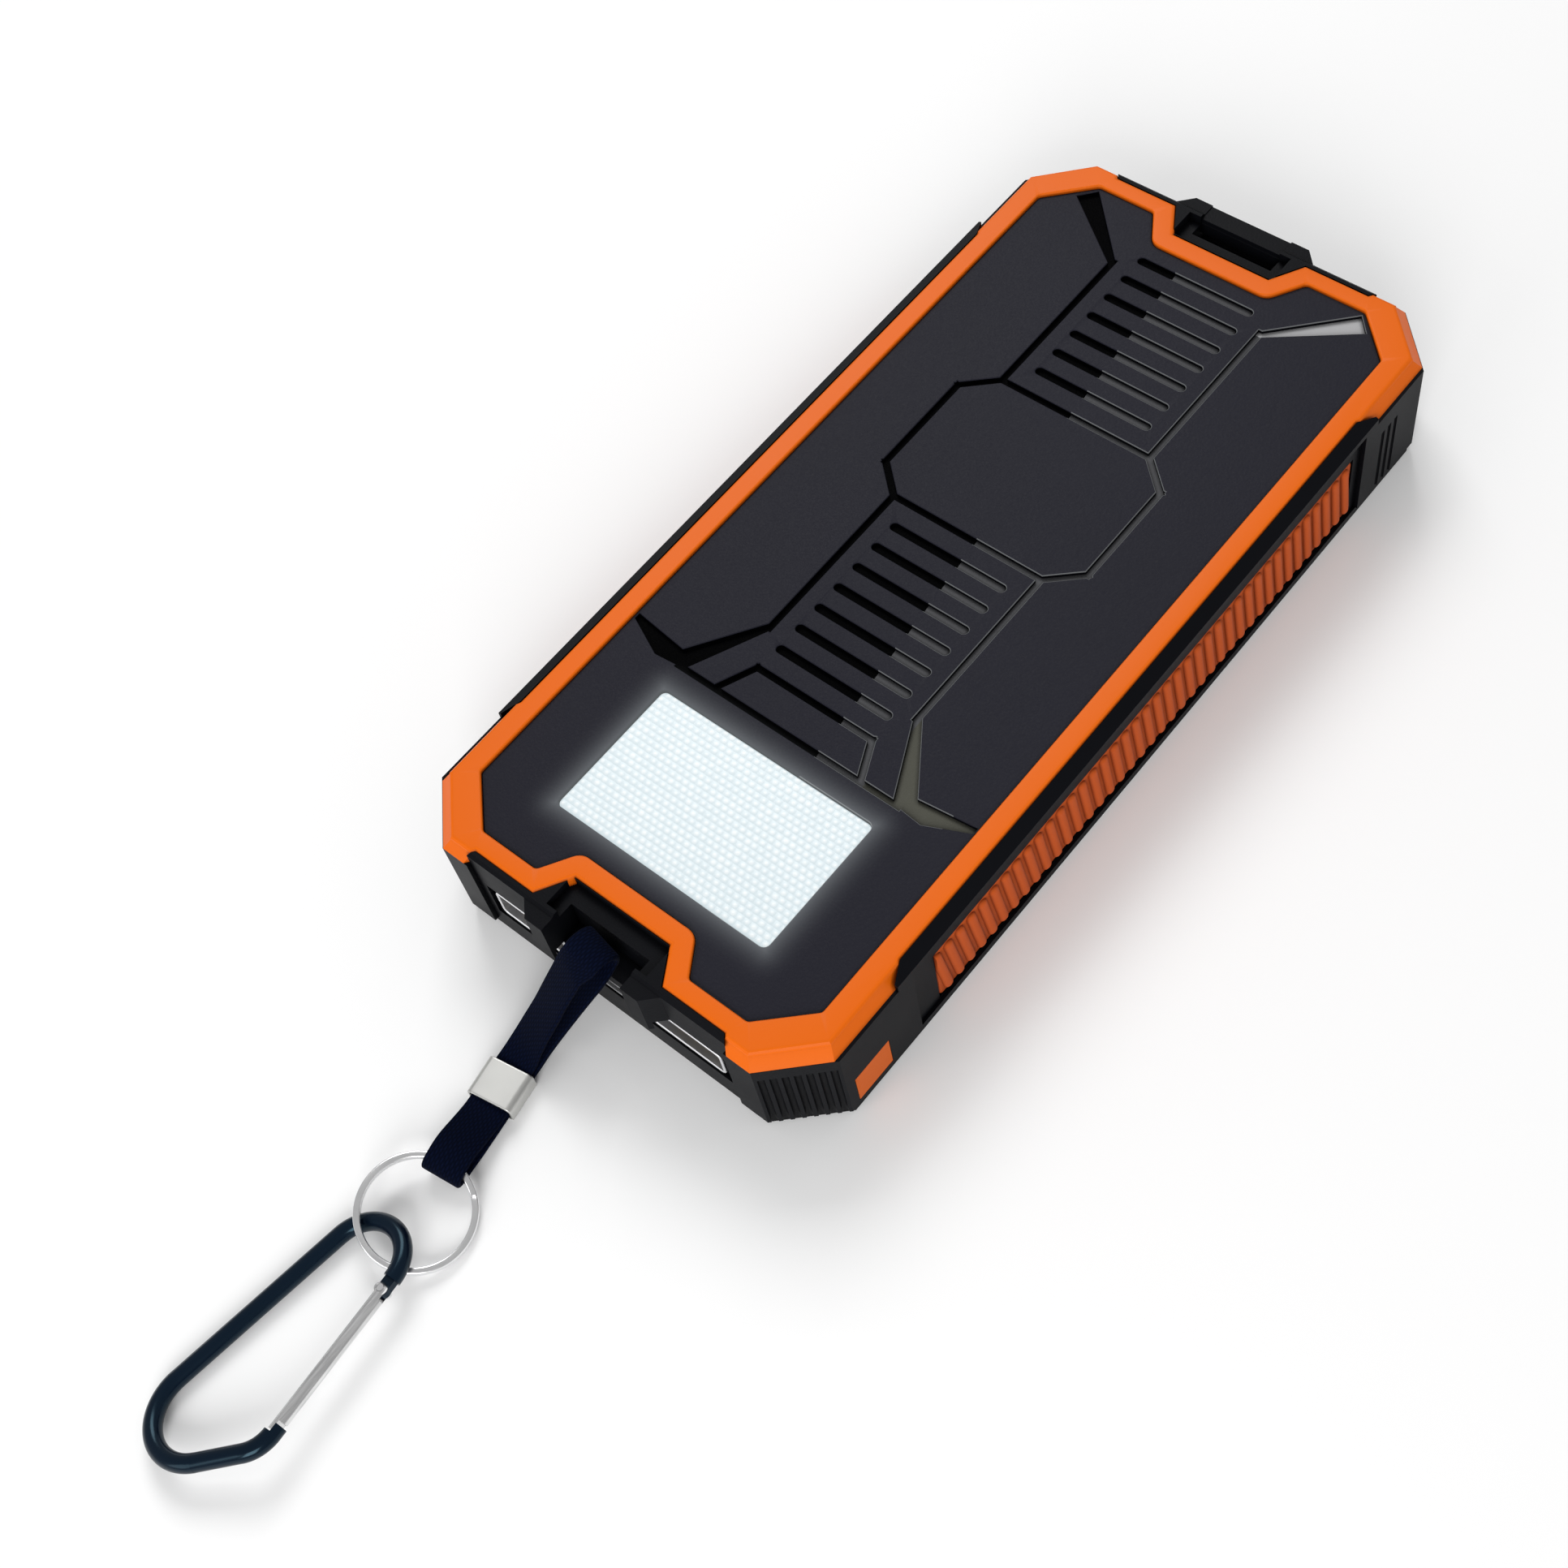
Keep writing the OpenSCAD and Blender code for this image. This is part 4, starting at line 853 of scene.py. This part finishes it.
class POWERBANK_OT_stage(bpy.types.Operator):
    """Camera, pale floor, soft lights and plain surroundings"""

    bl_idname = "powerbank.stage"
    bl_label = "Stage"

    def execute(self, context):
        stage = settings("stage")
        look, up = Vector(stage.aim).normalized(), Vector(stage.up).normalized()
        right = look.cross(up).normalized()
        up = right.cross(look)
        data = bpy.data.cameras.new("Camera")
        data.lens, data.sensor_width = stage.lens, 36.0
        data.clip_start, data.clip_end = 0.01, 20.0
        camera = bpy.data.objects.new("Camera", data)
        turn = Matrix((right, up, -look)).transposed().to_4x4()
        camera.matrix_world = Matrix.Translation(stage.camera) @ turn
        context.scene.collection.objects.link(camera)
        context.scene.camera = camera
        context.scene.view_settings.view_transform = "Standard"

        floor_finish, tree, shader = new_material("Floor", (0.9, 0.9, 0.9), Roughness=0.7)
        cloud = add(tree, "ShaderNodeTexNoise", (-700, 0), {"Scale": 6.0, "Detail": 2.0})
        tree.links.new(tones(tree, cloud.outputs["Fac"], (0.95, 0.95, 0.95), 0.99, 1.0),
                       shader.inputs["Base Color"])
        corners = FLOOR_HALF * np.array([[-1, -1, 0], [1, -1, 0], [1, 1, 0], [-1, 1, 0]])
        link_mesh("Floor", corners, [[0, 1, 2, 3]], floor_finish)

        world = bpy.data.worlds.new("Surroundings")
        context.scene.world = world
        world.use_nodes = True
        sky = world.node_tree.nodes["Background"]
        sky.inputs["Color"].default_value = (1.0, 1.0, 1.0, 1.0)
        sky.inputs["Strength"].default_value = SKY

        for name, place, size, power in LIGHTS:
            lamp = bpy.data.lights.new(name, "AREA")
            lamp.shape, lamp.size, lamp.energy = "SQUARE", size, power
            obj = bpy.data.objects.new(name, lamp)
            obj.location = place
            obj.rotation_euler = (-Vector(place)).to_track_quat("-Z", "Y").to_euler()
            context.scene.collection.objects.link(obj)
        return {"FINISHED"}


# ---------------------------------------------------------------- lanyard

# Strap's route down the middle of its two layers, and half the gap between them, as in the
# CAD part. Millimetres.
STRAP_ROUTE = [
    [0, -76.7, 18.1, 2.4], [-0.6, -78.3, 16.2, 2.2], [-1.3, -80, 14.1, 1.9],
    [-2.1, -81.8, 11.8, 1.6], [-2.9, -83.6, 9.4, 1.3], [-3.7, -85.4, 7.1, 1.1],
    [-4.4, -87.2, 5, 0.9], [-4.9, -89.1, 3.2, 0.7], [-5.1, -91, 2.1, 0.6],
    [-5.1, -92.6, 1.6, 0.6], [-4.8, -94.3, 1.6, 0.6], [-4.5, -96, 1.6, 0.6],
    [-4.2, -97.7, 1.6, 0.6], [-3.9, -99.4, 1.7, 0.6], [-3.6, -101.1, 1.9, 0.8],
    [-3.3, -102.8, 2.2, 1.1], [-3, -104.5, 2.5, 1.5], [-2.7, -106.2, 2.8, 1.75],
    [-2.4, -107.9, 2.8, 1.75],
]
# Share of the route on which the strap turns level from the bar, and where its roll begins.
LEVEL_UNTIL = 0.06
ROLL_FROM = 12 / 18
CLAMP_AT = np.array([-4.65, -95.15, 1.65]) * MM
RING_GRIP = np.array([-2.45, -107.7, 2.75]) * MM
RING_HEADING = radians(10)
RING_TILT = radians(13.5)


def turned(points, x=0.0, y=0.0, z=0.0):
    """Points turned about X, then Y, then Z."""
    spin = Matrix.Rotation(z, 3, "Z") @ Matrix.Rotation(y, 3, "Y") @ Matrix.Rotation(x, 3, "X")
    return np.asarray(points, float) @ np.array(spin).T


def strap_frames(count):
    """Route at even steps, with its sideways and upward directions and half gap. The
    sideways direction is level, and rolls with the ring towards the end."""
    route = smooth_path(STRAP_ROUTE, count)
    place, gap = route[:, :3] * MM, route[:, 3] * MM
    heading = unit(np.gradient(place, axis=0))
    level = unit(np.cross([0.0, 0.0, 1.0], heading))
    t = np.linspace(0, 1, count)
    level[0] = [1.0, 0.0, 0.0]
    early = np.clip(1 - t / LEVEL_UNTIL, 0, 1)[:, None]
    level = unit(level * (1 - early) + level[0] * early)
    level = unit(level - heading * np.sum(level * heading, 1, keepdims=True))
    lift = np.cross(heading, level)
    roll = settings("lanyard").roll * np.clip((t - ROLL_FROM) / (1 - ROLL_FROM), 0, 1)
    side = level * np.cos(roll)[:, None] + lift * np.sin(roll)[:, None]
    over = unit(np.cross(heading, side))
    return place, gap, heading, unit(side), over


def make_strap():
    """Closed band: out along the upper side of the route, round the ring, back along the
    lower side and round the bar, carrying a flat section with rounded edges."""
    sizes = settings("lanyard")
    place, gap, heading, side, over = strap_frames(110)
    turns = np.linspace(0, pi, 15)[1:-1]

    def bend(i, way):
        out = over[i] * np.cos(turns)[:, None] + way * heading[i] * np.sin(turns)[:, None]
        return place[i] + gap[i] * out, out, np.repeat(side[i][None], len(turns), 0)

    end, start = bend(-1, 1), bend(0, -1)
    line = np.concatenate([place + over * gap[:, None], end[0],
                           (place - over * gap[:, None])[::-1], start[0][::-1]])
    out = np.concatenate([over, end[1], -over[::-1], start[1][::-1]])
    across = np.concatenate([side, end[2], side[::-1], start[2][::-1]])
    section = rounded_outline(sizes.width / 2, sizes.thickness / 2, sizes.thickness * 0.42, 5)
    points = sweep(line, across, out, section)
    walk = np.r_[0, np.cumsum(np.linalg.norm(np.diff(line, axis=0), axis=1))]
    edge = np.r_[0, np.cumsum(np.linalg.norm(np.diff(section, axis=0), axis=1))]
    rows, columns = len(line) + 1, len(section) + 1
    points = np.concatenate([points, points[:1]])
    points = np.concatenate([points, points[:, :1]], 1)
    walk = np.r_[walk, walk[-1] + np.linalg.norm(line[0] - line[-1])]
    edge = np.r_[edge, edge[-1] + np.linalg.norm(section[0] - section[-1])]
    u, v = np.meshgrid(walk, edge, indexing="ij")
    faces = grid_faces(rows, columns)[:, ::-1]
    obj = link_mesh("Strap", points.reshape(-1, 3), faces, strap_weave(), 50.0,
                    np.stack([u.ravel(), v.ravel()], -1))
    return obj, place


def make_clamp():
    """Sleeve of folded sheet: a thin rounded section carried round a rounded rectangle, with
    straight sides."""
    wall, half_l, fold = 0.00045, 0.003, 0.0007
    inner_w, inner_h = 0.00325, 0.00125
    path, over, along = hoop(rounded_outline(inner_w + wall / 2, inner_h + wall / 2, fold, 7))
    section = rounded_outline(half_l, wall / 2, wall * 0.45, 5)
    flat = np.linspace(half_l * 0.9, -half_l * 0.9, 15)
    top = np.stack([flat, np.full(len(flat), wall / 2)], -1)
    quarter = len(section) // 4
    section = np.concatenate([section[:quarter], top, section[quarter:3 * quarter], -top,
                              section[3 * quarter:]])
    points = sweep(path, along, over, section)
    rows, columns = points.shape[:2]
    points = turned(points.reshape(-1, 3), z=RING_HEADING) + CLAMP_AT
    points[:, 2] = np.maximum(points[:, 2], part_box("strap_clamp")[0].z)
    obj = link_mesh("Strap_clamp", points, grid_faces(rows, columns, True, True),
                    clamp_steel(), 40.0)
    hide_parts("strap_clamp")
    return obj


def make_ring():
    """Split ring: two turns of flat wire, one on the other. The wire steps from the lower
    turn to the upper one over a short arc, and both ends are cut square and rounded."""
    sizes = settings("lanyard")
    radius, width, thick = sizes.ring_radius, sizes.ring_width, sizes.ring_thickness
    turns, per_turn, step_from, step_over, begin = 1.97, 110, 0.94, 0.1, radians(58)
    a = np.linspace(0, turns * 2 * pi, int(turns * per_turn))
    step = np.clip((a / (2 * pi) - step_from) / step_over, 0, 1)
    height = (step * step * (3 - 2 * step) - 0.5) * thick
    out = np.stack([np.cos(a + begin), np.sin(a + begin), np.zeros_like(a)], -1)
    up = np.repeat([[0.0, 0.0, 1.0]], len(a), 0)
    section = rounded_outline(width / 2, thick / 2, thick * 0.4, 5)
    taper = np.minimum(1, 0.55 + 0.45 * np.minimum(a, a[-1] - a) / 0.05)[:, None, None]
    points = sweep(radius * out + height[:, None] * up, out, up, section[None] * taper)
    rows, columns = points.shape[:2]
    faces = grid_faces(rows, columns, False, True)[:, ::-1].tolist()
    ring = np.arange(columns)
    after, last, hub = (ring + 1) % columns, (rows - 1) * columns, rows * columns
    for a, b, c in ((ring, after, hub), (last + after, last + ring, hub + 1)):
        faces += np.stack([a, b, np.full(columns, c)], -1).tolist()
    points = np.concatenate([points.reshape(-1, 3), points[[0, -1]].mean(1)])
    points[:, 1] -= radius
    points = turned(points, y=RING_TILT, z=RING_HEADING) + RING_GRIP
    obj = link_mesh("Key_ring", points, faces, lanyard_steel(), 40.0, outward=True)
    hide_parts("key_ring")
    return obj


class POWERBANK_OT_lanyard(bpy.types.Operator):
    """Woven strap with its clamp, key ring and carabiner"""

    bl_idname = "powerbank.lanyard"
    bl_label = "Lanyard"

    def execute(self, context):
        pieces = [finished(make_clamp(), "lanyard"),
                  finished(make_ring(), "ring")]
        for node, material, body, slot in (
            ("carabiner_body", carabiner_finish(), "carabiner", "carabiner_dark"),
            ("carabiner_gate", gate_metal(), "gate", "gate_alu"),
            ("gate_pin", lanyard_steel(), "carabiner", "pin_steel"),
        ):
            copy = finished_copy(node, node.capitalize(), material, 40.0)
            pieces.append(finished(copy, body))
        strap, middle = make_strap()
        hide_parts("lanyard_strap")
        finished(strap, "lanyard")
        settings("lanyard").width
        return {"FINISHED"}


# ---------------------------------------------------------------- case


class POWERBANK_OT_case(bpy.types.Operator):
    """Black frame and the cover on the solar side"""

    bl_idname = "powerbank.case"
    bl_label = "Case"

    def execute(self, context):
        for node, name, slot in (("case_frame", "Outer_frame", "case_black"),
                                 ("front_cover", "Front_cover", "cover_black")):
            finished(finished_copy(node, name, frame_black()), "case")
        return {"FINISHED"}


class POWERBANK_OT_back(bpy.types.Operator):
    """Back panel with its relief, and the orange bezel round it"""

    bl_idname = "powerbank.back"
    bl_label = "Back panel and bezel"

    def execute(self, context):
        edges = settings("edges")
        finished(eased_copy("back_panel", "Back_panel", panel_slate(), edges.panel),
                 "case")
        finished(eased_copy("back_bezel", "Back_bezel", bezel_orange(), edges.bezel,
                            edges.bezel_outer), "case")
        return {"FINISHED"}


def make_grip(node, side):
    """Rubber grip: a flat plate, and ribs that are half-round bars with round ends. Across
    a rib the height is a half circle, and along it both shrink as a circle at the ends."""
    sizes = settings("grips")
    low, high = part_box(node)
    inner, outer = sorted((abs(low.x), abs(high.x)))
    plate_t, corner, rim, margin, clear = 0.001, 0.0009, 0.0003, 0.0004, 0.0001
    foot = inner + plate_t
    half_y, half_z = (high.y - low.y) / 2, (high.z - low.z) / 2
    half_l = half_z - margin
    centre = np.array([0, (low.y + high.y) / 2, (low.z + high.z) / 2])
    w = np.linspace(0, pi, 11)
    along = half_l * np.sin(np.linspace(-1, 1, 29) * pi / 2)
    over_end = np.maximum(np.abs(along) - (half_l - sizes.radius), 0) / sizes.radius
    swell = (np.sqrt(np.clip(1 - over_end**2, 0, 1)) * 0.98 + 0.02)[:, None]
    height = (outer - foot) * swell ** 0.8 * np.sin(w)[None] ** 0.75
    y = sizes.radius * swell * np.cos(w)[None] - np.tan(sizes.lean) * along[:, None]
    rib = np.stack([foot - clear + height, y, np.broadcast_to(along[:, None], y.shape)], -1)
    rows, columns = y.shape
    count = rows * columns
    middles = low.y + (np.arange(sizes.ribs) + 0.5) * (2 * half_y) / sizes.ribs
    step = np.stack([np.zeros(sizes.ribs), middles, np.full(sizes.ribs, centre[2])], -1)
    ribs = rib.reshape(1, count, 3) + step[:, None]
    ribs[..., 1] = np.clip(ribs[..., 1], low.y + clear, high.y - clear)
    plate = rounded_outline(half_y, half_z, corner, 6)
    inset = rounded_outline(half_y - rim, half_z - rim, corner - rim, 6)
    skin = np.concatenate([
        np.stack([np.full(len(o), x), o[:, 0], o[:, 1]], -1) + centre
        for x, o in ((inner, plate), (foot - rim, plate), (foot, inset))])
    start, m = sizes.ribs * count, len(plate)
    faces = np.concatenate(
        [grid_faces(rows, columns, start=i * count) for i in range(sizes.ribs)]
        + [grid_faces(3, m, False, True, start)])[:, ::-1].tolist()
    faces.append((start + 2 * m + np.arange(m)).tolist())
    faces.append((start + np.arange(m))[::-1].tolist())
    points = np.concatenate([ribs.reshape(-1, 3), skin])
    if side < 0:
        points[:, 0] *= -1
        faces = [f[::-1] for f in faces]
    obj = link_mesh(node.capitalize(), points, faces, grip_rubber(), 50.0, outward=True)
    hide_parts(node)
    return finished(obj, "case")


class POWERBANK_OT_grips(bpy.types.Operator):
    """Ribbed rubber grips on both long sides"""

    bl_idname = "powerbank.grips"
    bl_label = "Side grips"

    def execute(self, context):
        make_grip("grip_right", 1)
        make_grip("grip_left", -1)
        return {"FINISHED"}


class POWERBANK_OT_controls(bpy.types.Operator):
    """Button and status lights"""

    bl_idname = "powerbank.controls"
    bl_label = "Button and lights"

    def execute(self, context):
        finished(finished_copy("power_button", "Power_button", button_orange()),
                 "button")
        paint_node("status_lights", clear_film("Light pipe", (0.7, 0.8, 0.95)))
        return {"FINISHED"}


class POWERBANK_OT_lamp(bpy.types.Operator):
    """Lamp window with its fine prisms"""

    bl_idname = "powerbank.lamp"
    bl_label = "Lamp"

    def execute(self, context):
        edge = settings("edges").lamp
        finished(eased_copy("lamp_window", "Lamp_window", lamp_lens(), edge),
                 "case")
        return {"FINISHED"}


def make_socket(node, corner):
    """Drawn steel shell: the section of its wall, rolled outwards at the mouth into a round
    lip, carried round the rounded rectangle of the socket, with a back plate closing it."""
    low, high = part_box(node)
    wall, lip, proud = 0.0003, 0.00028, 0.0001
    half_w, half_h = (high.x - low.x - wall) / 2, (high.z - low.z - wall) / 2
    path, over, along = hoop(rounded_outline(half_w, half_h, corner, 6))
    a = np.linspace(-pi / 3, 0.75 * pi, 11)
    mouth = np.stack([0.00005 + lip * np.sin(a), low.y - proud + lip * (1 - np.cos(a))], -1)
    neck = low.y + 0.0007
    section = np.concatenate([[[-wall / 2, high.y - 0.001], [-wall / 2, neck]], mouth,
                              [[wall / 2, neck], [wall / 2, high.y - 0.0005]]])
    middle = np.array([(low.x + high.x) / 2, 0, (low.z + high.z) / 2])
    points = sweep(path, over, along, section) + middle
    rows, columns = points.shape[:2]
    faces = grid_faces(rows, columns, True, False).tolist()
    last = np.arange(rows) * columns
    faces += [last.tolist(), (last + columns - 1)[::-1].tolist()]
    obj = link_mesh(node.capitalize(), points.reshape(-1, 3), faces, socket_steel(), 40.0,
                    outward=True)
    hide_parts(node)
    return finished(obj, "case")


class POWERBANK_OT_ports(bpy.types.Operator):
    """Two USB-A sockets and the micro-USB socket"""

    bl_idname = "powerbank.ports"
    bl_label = "Sockets"

    def execute(self, context):
        for node, corner in (("usb_shell_left", 0.0007), ("usb_shell_right", 0.0007),
                             ("micro_usb_shell", 0.0008)):
            make_socket(node, corner)
        for node in ("usb_tongue_left", "usb_tongue_right", "micro_usb_tongue"):
            finished(finished_copy(node, node.capitalize(), inner_black()),
                     "case")
        return {"FINISHED"}


class POWERBANK_OT_inside(bpy.types.Operator):
    """Solar cells on the underside, and everything inside the case"""

    bl_idname = "powerbank.inside"
    bl_label = "Solar side and inside"

    def execute(self, context):
        for node, material in plain_finishes().items():
            paint_node(node, material)
        paint_node("solar_cells", solar_cell())
        paint_node("solar_sheet", clear_film("Solar film"))
        return {"FINISHED"}


# ---------------------------------------------------------------- panel and registration

STEPS = (
    POWERBANK_OT_stage, POWERBANK_OT_lanyard, POWERBANK_OT_case, POWERBANK_OT_back,
    POWERBANK_OT_grips, POWERBANK_OT_controls, POWERBANK_OT_lamp, POWERBANK_OT_ports,
    POWERBANK_OT_inside,
)
GROUPS = {
    "finish": FinishSettings, "edges": EdgeSettings, "grips": GripSettings,
    "lanyard": LanyardSettings, "stage": StageSettings,
}


class POWERBANK_PT_sidebar(bpy.types.Panel):
    """Lists the sizes and the steps of the power bank"""

    bl_label = "Power bank"
    bl_idname = "POWERBANK_PT_sidebar"
    bl_space_type = "VIEW_3D"
    bl_region_type = "UI"
    bl_category = "Power bank"

    def draw(self, context):
        layout = self.layout
        for name in GROUPS:
            box = layout.box()
            box.label(text=name.capitalize())
            group = settings(name)
            for prop in group.bl_rna.properties:
                if prop.identifier not in {"rna_type", "name"}:
                    box.prop(group, prop.identifier)
        for step in STEPS:
            layout.operator(step.bl_idname)


def register():
    for item in (*GROUPS.values(), *STEPS, POWERBANK_PT_sidebar):
        bpy.utils.register_class(item)
    for name, group in GROUPS.items():
        setattr(bpy.types.Scene, "power_bank_" + name, bpy.props.PointerProperty(type=group))


def unregister():
    for name in GROUPS:
        delattr(bpy.types.Scene, "power_bank_" + name)
    for item in reversed((*GROUPS.values(), *STEPS, POWERBANK_PT_sidebar)):
        bpy.utils.unregister_class(item)


def main():
    register()
    for step in STEPS:
        category, name = step.bl_idname.split(".")
        getattr(getattr(bpy.ops, category), name)()


if __name__ == "__main__":
    main()
